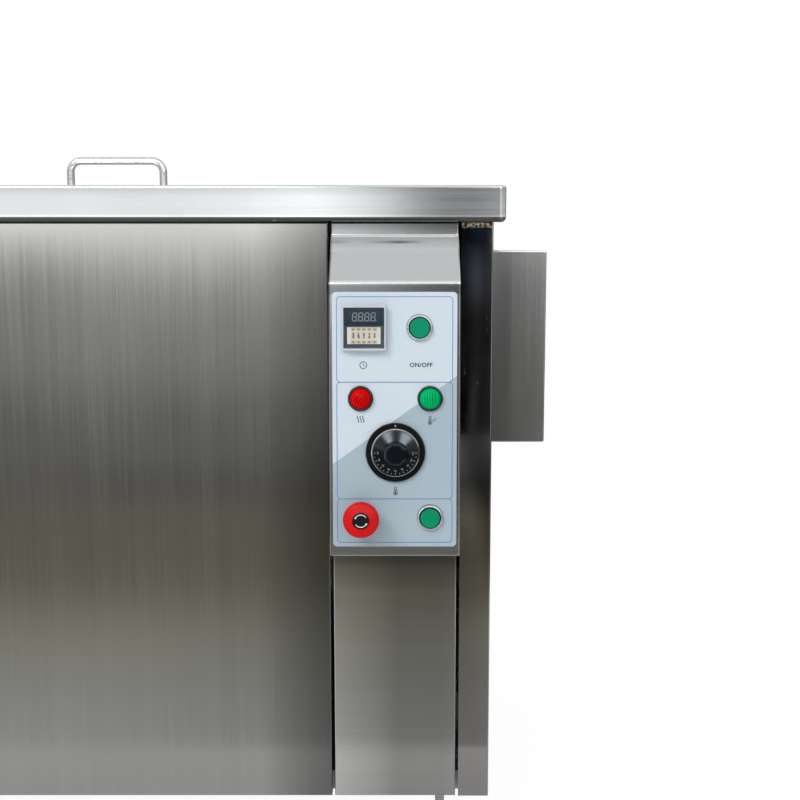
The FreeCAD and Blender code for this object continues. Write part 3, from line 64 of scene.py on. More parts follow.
def pattern(tree, scale, stretch=(1, 1, 1), detail=2.0, shift=(0, 0, 0)):
    """Noise on the piece's own coordinates, drawn out along each axis whose stretch is small."""
    mapping = tree.nodes.new("ShaderNodeMapping")
    mapping.inputs["Location"].default_value = shift
    mapping.inputs["Scale"].default_value = stretch
    noise = tree.nodes.new("ShaderNodeTexNoise")
    noise.inputs["Scale"].default_value = scale
    noise.inputs["Detail"].default_value = detail
    tree.links.new(own(tree), mapping.inputs["Vector"])
    tree.links.new(mapping.outputs["Vector"], noise.inputs["Vector"])
    return noise.outputs["Fac"]


def spread(tree, value, low, high, start=0.3, end=0.7):
    """Turn a pattern into a range of numbers."""
    node = tree.nodes.new("ShaderNodeMapRange")
    for socket, number in (("From Min", start), ("From Max", end), ("To Min", low), ("To Max", high)):
        node.inputs[socket].default_value = number
    tree.links.new(value, node.inputs["Value"])
    return node.outputs["Result"]


def tones(tree, value, dark, light, start=0.3, end=0.7):
    """Turn a pattern into a range of colours."""
    node = tree.nodes.new("ShaderNodeValToRGB")
    for stop, place, colour in zip(node.color_ramp.elements, (start, end), (dark, light)):
        stop.position = place
        stop.color = (*colour, 1)
    tree.links.new(value, node.inputs["Fac"])
    return node.outputs["Color"]


def graded(tree, value, stops):
    """Tones along a length: places in metres, each with its grey or its colour."""
    first, last = stops[0][0], stops[-1][0]
    ramp = tree.nodes.new("ShaderNodeValToRGB")
    while len(ramp.color_ramp.elements) < len(stops):
        ramp.color_ramp.elements.new(0.5)
    for stop, (at, tone) in zip(ramp.color_ramp.elements, stops):
        stop.position = (at - first) / (last - first)
        stop.color = (*(tone if isinstance(tone, tuple) else (tone,) * 3), 1)
    tree.links.new(spread(tree, value, 0, 1, first, last), ramp.inputs["Fac"])
    return ramp.outputs["Color"]


def blended(tree, first, second, share=None):
    """Two colours mixed by a pattern, or multiplied where no pattern is given."""
    mix = tree.nodes.new("ShaderNodeMix")
    mix.data_type = "RGBA"
    if share is None:
        mix.blend_type = "MULTIPLY"
        mix.inputs["Factor"].default_value = 1.0
    else:
        tree.links.new(share, mix.inputs["Factor"])
    tree.links.new(first, mix.inputs["A"])
    if isinstance(second, tuple):
        mix.inputs["B"].default_value = (*second, 1)
    else:
        tree.links.new(second, mix.inputs["B"])
    return mix.outputs["Result"]


def combine(tree, operation, first, second):
    """Add or multiply two patterns, or take the larger."""
    node = tree.nodes.new("ShaderNodeMath")
    node.operation = operation
    tree.links.new(first, node.inputs[0])
    tree.links.new(second, node.inputs[1])
    return node.outputs["Value"]


def relief(tree, shader, height, depth, strength=1.0):
    """Raise a pattern from the surface, to a depth in metres, over any relief that it already has."""
    bump = tree.nodes.new("ShaderNodeBump")
    bump.inputs["Distance"].default_value = depth
    bump.inputs["Strength"].default_value = strength
    for link in shader.inputs["Normal"].links:
        tree.links.new(link.from_socket, bump.inputs["Normal"])
    tree.links.new(height, bump.inputs["Height"])
    tree.links.new(bump.outputs["Normal"], shader.inputs["Normal"])


def shade(colour, factor):
    """A colour made lighter or darker."""
    return tuple(min(1.0, part * factor) for part in colour)


def feed(tree, shader, colour, roughness):
    """Lead a colour and a roughness to the shader."""
    tree.links.new(colour, shader.inputs["Base Color"])
    tree.links.new(roughness, shader.inputs["Roughness"])


def streaked(tree, grain, along, across):
    """Streaks along the grain; on the faces that cross the grain they run along another axis."""
    ways = (grain, "Y" if grain == "X" else "X")
    runs = [pattern(tree, 1.0, [along if axis == way else across for axis in "XYZ"], detail=3.0)
            for way in ways]
    facing = tree.nodes.new("ShaderNodeMath")
    facing.operation = "ABSOLUTE"
    mix = tree.nodes.new("ShaderNodeMix")
    tree.links.new(split(tree, own(tree, "Normal"))[grain], facing.inputs[0])
    tree.links.new(spread(tree, facing.outputs["Value"], 0, 1, 0.6, 0.8), mix.inputs["Factor"])
    tree.links.new(runs[0], mix.inputs["A"])
    tree.links.new(runs[1], mix.inputs["B"])
    return mix.outputs["Result"]


def brushed_steel(name, colour, roughness, grain, contrast=0.05, depth=0.000006, bow=0.0004):
    """Ground stainless sheet: streaks along the grain in tone, gloss and relief, clouds, a slight bow."""
    material, tree, shader = new_finish(name)
    fine = streaked(tree, grain, 5, 1200)
    broad = streaked(tree, grain, 1.2, 70)
    clouds = pattern(tree, 5.0, detail=2.0, shift=(3.1, 1.7, 0.4))
    shader.inputs["Metallic"].default_value = 1.0
    streaks = combine(tree, "ADD", spread(tree, fine, 0.0, 0.6), spread(tree, broad, 0.0, 0.4))
    tone = tones(tree, streaks, shade(colour, 1 - contrast), shade(colour, 1 + contrast), 0.1, 0.9)
    gloss = spread(tree, streaks, roughness - 0.03, roughness + 0.03, 0.1, 0.9)
    feed(tree, shader, tone, combine(tree, "ADD", gloss, spread(tree, clouds, -0.02, 0.03)))
    relief(tree, shader, pattern(tree, 2.4, detail=0.0, shift=(0.7, 0.2, 1.9)), bow)
    relief(tree, shader, fine, depth)
    return material


def paint_light_and_shade(material, axis, stops):
    """Paint light and shade into a finished steel's tone along an axis: places in metres, each with its
    factor.
    """
    tree = material.node_tree
    colour = tree.nodes["Principled BSDF"].inputs["Base Color"]
    factors = graded(tree, split(tree, own(tree))[axis], stops)
    tree.links.new(blended(tree, colour.links[0].from_socket, factors), colour)


def cells(tree, scale):
    """Distance from the middles of irregular cells on the piece's own coordinates."""
    node = tree.nodes.new("ShaderNodeTexVoronoi")
    node.inputs["Scale"].default_value = scale
    tree.links.new(own(tree), node.inputs["Vector"])
    return node.outputs["Distance"]


def stained(material, scale, size, tone):
    """Scatter small round water stains over a finished steel."""
    tree = material.node_tree
    colour = tree.nodes["Principled BSDF"].inputs["Base Color"]
    distance = cells(tree, scale)
    ring = combine(tree, "MULTIPLY", spread(tree, distance, 0.3, 1, 0, size),
                   spread(tree, distance, 1, 0, size, size * 1.35))
    some = spread(tree, pattern(tree, scale / 3, shift=(5, 1, 2)), 0, 1, 0.50, 0.60)
    spots = combine(tree, "MULTIPLY", ring, some)
    tree.links.new(blended(tree, colour.links[0].from_socket, tone, spots), colour)


def dress(material, *names):
    """Give CAD nodes their surface."""
    for name in names:
        for slot in nodes[name].material_slots:
            slot.material = material


rim_steel = brushed_steel("rim_steel", (0.645, 0.67, 0.68), 0.15, "X", contrast=0.03)
# Painted light and shade along the height: a dark bottom bend, a lighter band above it, a dimmed top bend
# and a lighter top.
paint_light_and_shade(rim_steel, "Z", (
    (0.8065, 0.20), (0.8095, 0.30), (0.8120, 1.25), (0.8138, 1.40), (0.8160, 1.07), (0.8275, 1.05),
    (0.8380, 0.97), (0.8445, 0.83), (0.8465, 0.82), (0.8478, 0.85), (0.8495, 0.92), (0.85, 1.1)))
stained(rim_steel, 22.0, 0.055, (0.40, 0.39, 0.37))
dress(rim_steel, "top_rim")


# Weld under the rim: a short rippled bead that joins the right-hand side panel to the rim.
# It is bare stainless wire, browned by heat and left unground.
def made(name, bm, material):
    """Turn a drawing into a piece of the scene."""
    mesh = bpy.data.meshes.new(name)
    bm.to_mesh(mesh)
    bm.free()
    mesh.materials.append(material)
    piece = bpy.data.objects.new(name, mesh)
    bpy.context.collection.objects.link(piece)
    return piece


def settle(name, bm, place, material, body, sharp=35):
    """Set a finished mesh, drawn in millimetres, in its place and tie it to the body that carries it."""
    bm.transform(place @ Matrix.Scale(MM, 4))
    piece = made(name, bm, material)
    piece.data.shade_smooth()
    piece.data.set_sharp_from_angle(angle=math.radians(sharp))
    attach(piece, body)


def heat_browned(name):
    """Bare weld metal in brown and straw tones."""
    material, tree, shader = new_finish(name)
    blotches = pattern(tree, 260.0, detail=4.0)
    shader.inputs["Metallic"].default_value = 0.8
    feed(tree, shader, tones(tree, blotches, (0.06, 0.045, 0.025), (0.80, 0.70, 0.52), 0.40, 0.62),
         spread(tree, blotches, 0.32, 0.62))
    relief(tree, shader, blotches, 0.0012)
    return material


side_low, side_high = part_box("right_side_panel")
rim_low, rim_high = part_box("top_rim")
bead_radius = 4.2
bead_step = 1.5
bead_length = 37
bead_start = side_high.x / MM - bead_length - 1
bead_count = int(bead_length / bead_step)
bm = bmesh.new()
ring = bmesh.ops.create_circle(bm, cap_ends=True, radius=bead_radius, segments=14)["verts"]
bmesh.ops.rotate(bm, verts=ring, matrix=Matrix.Rotation(math.pi / 2, 3, "Y"))
loop = list({edge for vert in ring for edge in vert.link_edges})
for i in range(bead_count):
    grown = bmesh.ops.extrude_edge_only(bm, edges=loop)["geom"]
    ring = [item for item in grown if isinstance(item, bmesh.types.BMVert)]
    loop = [item for item in grown if isinstance(item, bmesh.types.BMEdge) and not item.is_manifold]
    bmesh.ops.translate(bm, verts=ring, vec=(bead_step, 0, 0))
    middle = sum((vert.co for vert in ring), Vector()) / len(ring)
    swell = (1.10 if i % 2 else 0.90) * (1 + 0.16 * math.sin(2.3 * i) + 0.12 * math.sin(0.9 * i + 1))
    radius = (ring[0].co - middle).length
    size = bead_radius * swell / radius
    bmesh.ops.scale(bm, vec=(1, size, size), space=Matrix.Translation(-middle), verts=ring)
bmesh.ops.contextual_create(bm, geom=loop)
bmesh.ops.recalc_face_normals(bm, faces=bm.faces)
bead_place = Matrix.Translation(Vector((bead_start * MM, side_low.y - 0.0005, rim_low.z - 0.0025)))
settle("rim_weld", bm, bead_place, heat_browned("weld_brown"), "cabinet", sharp=80)


# Wash tank: deep stainless box with round corners and a drain, pressed and welded, hung under the rim.
# Its inside is bright annealed sheet with a soft cloudy gloss; inside the body its walls carry heater pads.
tank_steel = brushed_steel("tank_steel", (0.60, 0.60, 0.60), 0.30, "Z")
dress(tank_steel, "wash_tank")


# Front, side and rear panels: stainless sheet folded at the edges. Front and rear are brushed upright;
# the sides are near-mirror sheet with fine scratches, which shows on the strip beside the console.
panel_steel = brushed_steel("panel_steel", (0.52, 0.52, 0.51), 0.15, "Z", contrast=0.045)
# Painted reflection: the front panel is lighter on its left and darkens towards its right edge.
paint_light_and_shade(panel_steel, "X", ((-0.40, 1.2), (0.03, 1.26), (0.064, 1.25), (0.09, 1.0), (0.106, 0.84),
                                (0.124, 0.70), (0.142, 0.60), (0.152, 0.52)))
rear_steel = brushed_steel("rear_steel", (0.54, 0.54, 0.53), 0.20, "Z", contrast=0.045)
dress(panel_steel, "front_panel")
dress(rear_steel, "rear_panel")


def polished_steel(name, colour):
    """Near-mirror sheet, not quite flat, with a few fine scratches that run all ways."""
    material, tree, shader = new_finish(name)
    shader.inputs["Metallic"].default_value = 1.0
    wide = pattern(tree, 1.0, (260, 260, 9), detail=2.0)
    slant = pattern(tree, 1.0, (40, 40, 210), detail=2.0, shift=(1.3, 0.2, 2.2))
    hairs = combine(tree, "MULTIPLY", spread(tree, wide, 0, 1, 0.66, 0.72),
                    spread(tree, slant, 0, 1, 0.5, 0.7))
    film = pattern(tree, 14.0, detail=3.0)
    feed(tree, shader, tones(tree, film, shade(colour, 0.92), colour),
         combine(tree, "ADD", spread(tree, film, 0.03, 0.07), spread(tree, hairs, 0, 0.25, 0, 1)))
    relief(tree, shader, pattern(tree, 9.0, (1, 1, 0.5), detail=1.0), 0.00035)
    relief(tree, shader, hairs, 0.00004)
    return material


side_steel = polished_steel("side_steel", (0.50, 0.49, 0.48))
dress(side_steel, "left_side_panel", "right_side_panel")


# Base pan, bay wall and levelling feet: zinc-coated sheet with its spangle, and turned stainless screws.
# The pan is folded up round its edge; the feet screw through it and lock with a nut on each side.
def zinc_sheet(name):
    """Galvanised sheet with its crystals."""
    material, tree, shader = new_finish(name)
    spangle = cells(tree, 70.0)
    shader.inputs["Metallic"].default_value = 1.0
    feed(tree, shader, tones(tree, spangle, (0.42, 0.44, 0.45), (0.60, 0.62, 0.63), 0.0, 0.7),
         spread(tree, spangle, 0.38, 0.55, 0.0, 0.7))
    return material


zinc = zinc_sheet("zinc_sheet")
turned_steel = brushed_steel("turned_steel", (0.60, 0.60, 0.59), 0.25, "X", bow=0.0)
dress(zinc, "base_pan", "electrics_partition")
dress(turned_steel, "levelling_feet")


# Lid: a shallow folded stainless pan that lies flush in the rim, with a bent-rod handle welded to it.
# Two butt hinges with polished pins carry it, each leaf held by button-head socket screws.
lid_steel = brushed_steel("lid_steel", (0.60, 0.60, 0.59), 0.18, "X")
dress(lid_steel, "lid_pan")
dress(turned_steel, "lid_handle", "lid_hinge_bases", "lid_hinge_leaves")


def socket_screw(name, place, head, body, dome=0.31):
    """A screw head with a six-sided socket sunk in it: domed, or nearly flush where its dome is small."""
    bm = bmesh.new()
    rows = ((0.50, 0.0), (0.50, 0.3 * dome), (0.44, 0.7 * dome), (0.33, 0.97 * dome), (0.27, dome))
    loops = []
    for radius, rise in rows:
        verts = bmesh.ops.create_circle(bm, radius=radius * head, segments=24)["verts"]
        bmesh.ops.translate(bm, verts=verts, vec=(0, 0, rise * head))
        loops.append(verts)
    for rise in (dome, 0.25 * dome):
        verts = bmesh.ops.create_circle(bm, radius=0.20 * head, segments=6)["verts"]
        bmesh.ops.translate(bm, verts=verts, vec=(0, 0, rise * head))
        loops.append(verts)
    edges = [list({edge for vert in verts for edge in vert.link_edges}) for verts in loops]
    for low, high in zip(edges, edges[1:]):
        bmesh.ops.bridge_loops(bm, edges=low + high)
    bmesh.ops.contextual_create(bm, geom=edges[-1])
    bmesh.ops.contextual_create(bm, geom=edges[0])
    bmesh.ops.recalc_face_normals(bm, faces=bm.faces)
    settle(name, bm, place, turned_steel, body)


hinge_low, hinge_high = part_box("lid_hinge_bases")
leaf_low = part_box("lid_hinge_leaves")[0]
hinge_width = 0.0428
screw_inset = 0.008
hinge_screw = 6.0
leaf_top = rim_high.z + 0.002
for i, left in enumerate((hinge_low.x, hinge_high.x - hinge_width)):
    for j, share in enumerate((0.2, 0.8)):
        x = left + share * hinge_width
        rear = Vector((x, hinge_high.y - screw_inset, leaf_top))
        front = Vector((x, leaf_low.y + screw_inset, leaf_top))
        socket_screw(f"hinge_base_screw_{i}_{j}", Matrix.Translation(rear), hinge_screw, "cabinet")
        socket_screw(f"hinge_leaf_screw_{i}_{j}", Matrix.Translation(front), hinge_screw, "lid")


# Console and the cover of the column below: one folded stainless hood with a short slope under the rim.
# Its grain runs across; the two bends carry a painted bright line, and the slope has darker streaks near
# its top.
def console_finish(name, colour):
    """Stainless sheet ground crosswise, with darker streaks and a less metallic band on the slope, and
    painted shade under the rim.
    """
    material, tree, shader = new_finish(name)
    axes = split(tree, own(tree))
    streaks = streaked(tree, "X", 5, 1200)
    rubbed = pattern(tree, 1.0, (9, 30, 75), detail=3.0, shift=(0.3, 0, 0.6))
    brow = rim_low.z - 0.015
    band_low = spread(tree, axes["Z"], 0, 1, brow - 0.0108, brow - 0.0090)
    band_high = spread(tree, axes["Z"], 1, 0, brow - 0.0082, brow - 0.0060)
    middle = combine(tree, "MULTIPLY", spread(tree, axes["X"], 0, 1, 0.195, 0.235),
                     spread(tree, axes["X"], 1, 0, 0.238, 0.272))
    reach = combine(tree, "MAXIMUM", middle, spread(tree, axes["X"], 0.55, 0, 0.166, 0.182))
    on_brow = combine(tree, "MULTIPLY", combine(tree, "MULTIPLY", band_low, band_high),
                      combine(tree, "MULTIPLY", reach, spread(tree, rubbed, 0.5, 1, 0.40, 0.55)))
    # Painted shade under the rim: the strip darkens towards the rim.
    shadow = spread(tree, axes["Z"], 1.0, 0.60, rim_low.z - 0.012, rim_low.z)
    streaks_and_shade = combine(tree, "MULTIPLY", spread(tree, on_brow, 1.0, 0.22, 0, 1), shadow)
    streaks_and_shade = combine(tree, "MULTIPLY", streaks_and_shade, spread(tree, streaks, 0.95, 1.0))
    scuffed = combine(tree, "MULTIPLY", spread(tree, axes["Z"], 0, 1, brow - 0.0240, brow - 0.0135),
                      spread(tree, axes["Z"], 1, 0, brow - 0.001, brow))
    tree.links.new(spread(tree, scuffed, 1.0, 0.15, 0, 1), shader.inputs["Metallic"])
    feed(tree, shader, tones(tree, streaks_and_shade, (0, 0, 0), colour, 0.0, 1.0), spread(tree, streaks, 0.15, 0.20))
    relief(tree, shader, streaks, 0.000003)
    return material


console_steel = console_finish("console_steel", (0.548, 0.562, 0.568))
# Painted light and shade along the height: a dark bottom edge over a lighter bottom border, a darker top
# border on the face, painted bright lines at both bends, and a dimmer strip under the rim.
paint_light_and_shade(console_steel, "Z", (
    (0.4145, 0.45), (0.4152, 0.6), (0.4160, 1.7), (0.4245, 1.7), (0.45, 1.35), (0.55, 1.0), (0.72, 0.85),
    (0.7265, 0.50), (0.7315, 0.50), (0.7345, 0.60), (0.7360, 1.5), (0.7375, 1.5), (0.7395, 0.94),
    (0.77, 0.96), (0.7750, 1.08), (0.7830, 1.08), (0.7860, 0.95), (0.7888, 0.92), (0.7895, 1.7),
    (0.7911, 1.7), (0.7917, 1.02), (0.7963, 1.0), (0.80, 0.90), (0.8065, 0.90)))
# Painted shade and light across: the left edge darkened, the right edge lightened.
paint_light_and_shade(console_steel, "X", ((0.155, 0.40), (0.1575, 0.62), (0.1585, 1.0), (0.3065, 1.0),
                                  (0.3078, 1.0), (0.3105, 1.3)))
cover_steel = brushed_steel("cover_steel", (0.58, 0.58, 0.57), 0.15, "X", contrast=0.03)
# Painted reflection: the column cover is lighter on its left and darker towards its right.
paint_light_and_shade(cover_steel, "X", ((0.156, 1.7), (0.18, 1.45), (0.21, 1.2), (0.235, 0.92), (0.29, 0.92),
                                (0.31, 1.0)))
# Painted shadow under the console: the cover darkens towards its top.
paint_light_and_shade(cover_steel, "Z", ((0.25, 1.0), (0.30, 1.02), (0.343, 1.1), (0.365, 1.0), (0.378, 0.86),
                                (0.3905, 0.55), (0.42, 0.5)))
dress(console_steel, "control_console")
dress(cover_steel, "service_cover")


# Overlay: a polycarbonate sheet printed on its back and glued to the console, pale blue-grey in two tones
# that meet on a slant, with thin blue frames round three groups of controls.
console_lean = math.radians(2.15)
overlay_sheet = 0.8
overlay_low, overlay_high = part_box("facia_overlay")
overlay_middle = (overlay_low + overlay_high) / 2
up_face = Vector((0, math.sin(console_lean), math.cos(console_lean)))
out_face = Vector((0, -math.cos(console_lean), math.sin(console_lean)))


def face_place(across, up, lift=0.0):
    """A frame on the overlay, from millimetres off its middle: x right, y up the face, z out of it."""
    offset = Vector((across, 0, 0)) + up * up_face + (overlay_sheet / 2 + lift) * out_face
    origin = overlay_middle + offset * MM
    return Matrix.Translation(origin) @ Matrix.Rotation(math.pi / 2 - console_lean, 4, "X")


def seat(node):
    """The frame on the overlay at the axis of a control."""
    low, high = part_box(node)
    offset = ((low + high) / 2 - overlay_middle) / MM
    return face_place(offset.x, offset.dot(up_face))


def framed(tree, origin, turn):
    """The piece's own coordinates in a frame that is moved to an origin and turned."""
    mapping = tree.nodes.new("ShaderNodeMapping")
    mapping.vector_type = "TEXTURE"
    mapping.inputs["Location"].default_value = origin
    mapping.inputs["Rotation"].default_value = turn
    tree.links.new(own(tree), mapping.inputs["Vector"])
    return mapping.outputs["Vector"]


def overlay_print(name):
    """Two printed tones divided by a slanted line, under a satin film."""
    material, tree, shader = new_finish(name)
    slant = -math.atan(0.715)
    face = framed(tree, overlay_middle + Vector((0, 0, 0.0005)), (0, slant, 0))
    side = spread(tree, split(tree, face)["Z"], 0, 1, -0.0003, 0.0003)
    film = pattern(tree, 900.0, detail=1.0)
    cast = pattern(tree, 5.0, detail=1.0)
    dark = tones(tree, cast, (0.375, 0.475, 0.535), (0.405, 0.51, 0.575))
    light = tones(tree, cast, (0.615, 0.705, 0.780), (0.645, 0.735, 0.810))
    feed(tree, shader, blended(tree, dark, light, side), spread(tree, film, 0.34, 0.42))
    shader.inputs["Specular IOR Level"].default_value = 0.2
    relief(tree, shader, film, 0.00001, 0.4)
    return material


dress(overlay_print("overlay_print"), "facia_overlay")


def ink(name, colour):
    """Screen ink with a slightly uneven lay."""
    material, tree, shader = new_finish(name)
    lay = pattern(tree, 700.0, detail=2.0)
    feed(tree, shader, tones(tree, lay, shade(colour, 0.9), shade(colour, 1.1)),
         spread(tree, lay, 0.40, 0.52))
    return material


def thicken(bm, rise):
    """Raise flat faces to a printed or moulded thickness."""
    grown = bmesh.ops.extrude_face_region(bm, geom=list(bm.faces), use_keep_orig=True)["geom"]
    raised = [item for item in grown if isinstance(item, bmesh.types.BMVert)]
    bmesh.ops.translate(bm, verts=raised, vec=(0, 0, rise))
    bmesh.ops.recalc_face_normals(bm, faces=bm.faces)


print_rise = 0.05
frame_ink = ink("frame_ink", (0.09, 0.22, 0.50))
frame_half = 68.0
frame_line = 0.9
frame_round = 4.5
overlay_top_v = 230.0
frame_levels = (85.5, 185.0, 323.0, 375.0)
for i, (top, bottom) in enumerate(zip(frame_levels, frame_levels[1:])):
    bm = bmesh.new()
    corners = bmesh.ops.create_grid(bm, x_segments=1, y_segments=1, size=1.0)["verts"]
    bmesh.ops.scale(bm, verts=corners, vec=(frame_half, (bottom - top) / 2 + frame_line / 2, 1))
    bmesh.ops.bevel(bm, geom=corners, offset=frame_round, offset_type="OFFSET", segments=8, profile=0.5,
                    affect="VERTICES", material=-1)
    inner = list(bm.faces)
    bmesh.ops.inset_region(bm, faces=inner, thickness=frame_line, use_even_offset=True, use_boundary=True)
    bmesh.ops.delete(bm, geom=inner, context="FACES")
    thicken(bm, print_rise)
    settle(f"frame_line_{i}", bm, face_place(0, overlay_top_v - (top + bottom) / 2), frame_ink, "cabinet")


# Signs on the overlay: a clock for the timer, the switch words, heat waves, and thermometers for the set
# and the reached temperature. All are printed in dark grey ink.
sign_ink = ink("sign_ink", (0.040, 0.044, 0.052))


def band(radius, width, start, sweep, steps):
    """A flat ring, or a part of one, spun from a single edge."""
    bm = bmesh.new()
    ends = [bm.verts.new((radius + side * width / 2, 0, 0)) for side in (-1, 1)]
    edge = bm.edges.new(ends)
    whole = sweep >= 360
    bmesh.ops.spin(bm, geom=ends + [edge], axis=(0, 0, 1), cent=(0, 0, 0), angle=math.radians(sweep),
                   steps=steps, use_merge=whole)
    bmesh.ops.rotate(bm, verts=bm.verts, matrix=Matrix.Rotation(math.radians(start), 3, "Z"))
    bmesh.ops.remove_doubles(bm, verts=bm.verts, dist=1e-4)
    return bm


def stroke(points, width):
    """A flat line of even width drawn along a few points."""
    bm = bmesh.new()
    path = [Vector(point).to_3d() for point in points]
    heads = [(after - before).normalized() for before, after in zip(path, path[1:])]
    turns = [heads[0]] + [(a + b).normalized() for a, b in zip(heads, heads[1:])] + [heads[-1]]
    side = Vector((-turns[0].y, turns[0].x, 0)) * width / 2
    edge = bm.edges.new([bm.verts.new(path[0] + side), bm.verts.new(path[0] - side)])
    for point, heading in zip(path[1:], turns[1:]):
        side = Vector((-heading.y, heading.x, 0)) * width / 2
        grown = bmesh.ops.extrude_edge_only(bm, edges=[edge])["geom"]
        edge = [item for item in grown if isinstance(item, bmesh.types.BMEdge)
                and all(vert in grown for vert in item.verts)][0]
        first, second = edge.verts
        crossing = (first.co - second.co).dot(side)
        first.co = point + side * (1 if crossing > 0 else -1)
        second.co = point - side * (1 if crossing > 0 else -1)
    return bm


def gather(*drawings):
    """Join several drawings, each with its shift, into one."""
    whole = bmesh.new()
    for bm, shift in drawings:
        bm.transform(Matrix.Translation(Vector(shift).to_3d()))
        piece = bpy.data.meshes.new("drawing")
        bm.to_mesh(piece)
        bm.free()
        whole.from_mesh(piece)
        bpy.data.meshes.remove(piece)
    return whole


def disc(radius, segments=24):
    """A flat disc, or a flat polygon of few sides."""
    bm = bmesh.new()
    bmesh.ops.create_circle(bm, cap_ends=True, radius=radius, segments=segments)
    return bm


def lettering(text, height, weight=0.0, spacing=1.0):
    """Plain letters or figures as a flat mesh, centred."""
    curve = bpy.data.curves.new("figures", "FONT")
    curve.body = text
    curve.size = height * 1.4
    curve.offset = weight
    curve.space_character = spacing
    curve.align_x = "CENTER"
    curve.align_y = "CENTER"
    carrier = bpy.data.objects.new("figures", curve)
    mesh = bpy.data.meshes.new_from_object(carrier)
    bm = bmesh.new()
    bm.from_mesh(mesh)
    bpy.data.objects.remove(carrier)
    bpy.data.meshes.remove(mesh)
    bmesh.ops.remove_doubles(bm, verts=bm.verts, dist=1e-4)
    return bm


def thermometer():
    """The strokes of a thermometer: tube, bulb and column."""
    tube = [(-1.1, -1.4), (-1.1, 3.6), (-0.78, 4.38), (0, 4.7), (0.78, 4.38), (1.1, 3.6), (1.1, -1.4)]
    bulb = (0, -3.2)
    return [(stroke(tube, 0.75), (0, 0)), (band(2.2, 0.75, 120, 300, 24), bulb), (disc(1.3), bulb),
            (stroke([(0, -2.4), (0, 2.0)], 0.8), (0, 0))]


def wave(x):
    """One upright wave of the heat sign."""
    points = [(x + 0.8 * math.sin(step / 12 * 2 * math.pi), -4.0 + step * 8.0 / 12) for step in range(13)]
    return stroke(points, 1.0), (0, 0)


clock_hands = stroke([(0, 2.6), (0, 0), (1.9, -1.1)], 0.85)
timer_sign = gather((band(4.0, 0.9, 0, 360, 40), (0, 0)), (clock_hands, (0, 0)))
heat_sign = gather(wave(-3.0), wave(0.0), wave(3.0))
set_sign = gather(*thermometer())
reached_sign = gather(*thermometer(), (stroke([(2.8, 0.2), (4.2, -1.5), (7.0, 2.5)], 1.0), (0, 0)))
switch_words = lettering("ON/OFF", 5.0, 0.20, 1.08)
signs = (("timer_sign", timer_sign, -36.5, 165.0), ("switch_words", switch_words, 30.9, 165.0),
         ("heat_sign", heat_sign, -39.8, 228.5), ("reached_sign", reached_sign, 41.4, 229.5),
         ("set_sign", set_sign, 0.9, 313.0))
for name, bm, across, level in signs:
    thicken(bm, print_rise)
    settle(name, bm, face_place(across, overlay_top_v - level), sign_ink, "cabinet")


# Timer: a panel-mounting plug-in timer in a dark moulded case, with four unlit figures in a smoked window.
# Below the window a row of digit switches sets the time, and a clear cover hinges up over the whole face.
def moulded(name, colour, roughness, grain=1400.0, depth=0.00001, shine=0.5):
    """Moulded plastic with a fine spark-eroded texture and slight flow marks."""
    material, tree, shader = new_finish(name)
    texture = pattern(tree, grain, detail=2.0)
    flow = pattern(tree, 30.0, detail=2.0)
    shader.inputs["Specular IOR Level"].default_value = shine
    feed(tree, shader, tones(tree, flow, shade(colour, 0.93), shade(colour, 1.07)),
         spread(tree, texture, roughness - 0.04, roughness + 0.04))
    relief(tree, shader, texture, depth, 0.5)
    return material


dress(moulded("timer_slate", (0.055, 0.083, 0.102), 0.38, shine=0.3), "timer_case")
dress(moulded("display_smoke", (0.018, 0.036, 0.056), 0.12, 300.0, 0.000002, shine=0.3), "timer_window")

timer_place = seat("timer_window")
window_up = 12.8
timer_middle = timer_place.translation - window_up * MM * up_face
figure_grey = ink("figure_grey", (0.34, 0.36, 0.38))
figure_pitch = 7.2
figure_height = 9.2
figure_width = 4.6
figure_slant = 0.08
stroke_width = 0.75
window_front = 6.0


def seven_bars():
    """One figure of seven bars and a point, all shown unlit."""
    high = figure_height / 2
    wide = figure_width / 2
    gap = 0.45
    flat = [((-wide + gap, y), (wide - gap, y)) for y in (high, 0, -high)]
    tall = [((x, y + gap), (x, y + high - gap)) for x in (-wide, wide) for y in (0, -high)]
    bars = [(stroke(bar, stroke_width), (0, 0)) for bar in flat + tall]
    return bars + [(disc(0.5, 12), (wide + 1.1, -high))]


bars = []
for i in range(4):
    bars += [(bar, (shift[0] + (i - 1.5) * figure_pitch, shift[1])) for bar, shift in seven_bars()]
bm = gather(*bars)
bmesh.ops.transform(bm, verts=bm.verts, matrix=Matrix.Shear("XZ", 4, (figure_slant, 0)))
thicken(bm, print_rise)
window_face = timer_place @ Matrix.Translation((0, 0, window_front * MM))
settle("display_figures", bm, window_face, figure_grey, "cabinet")


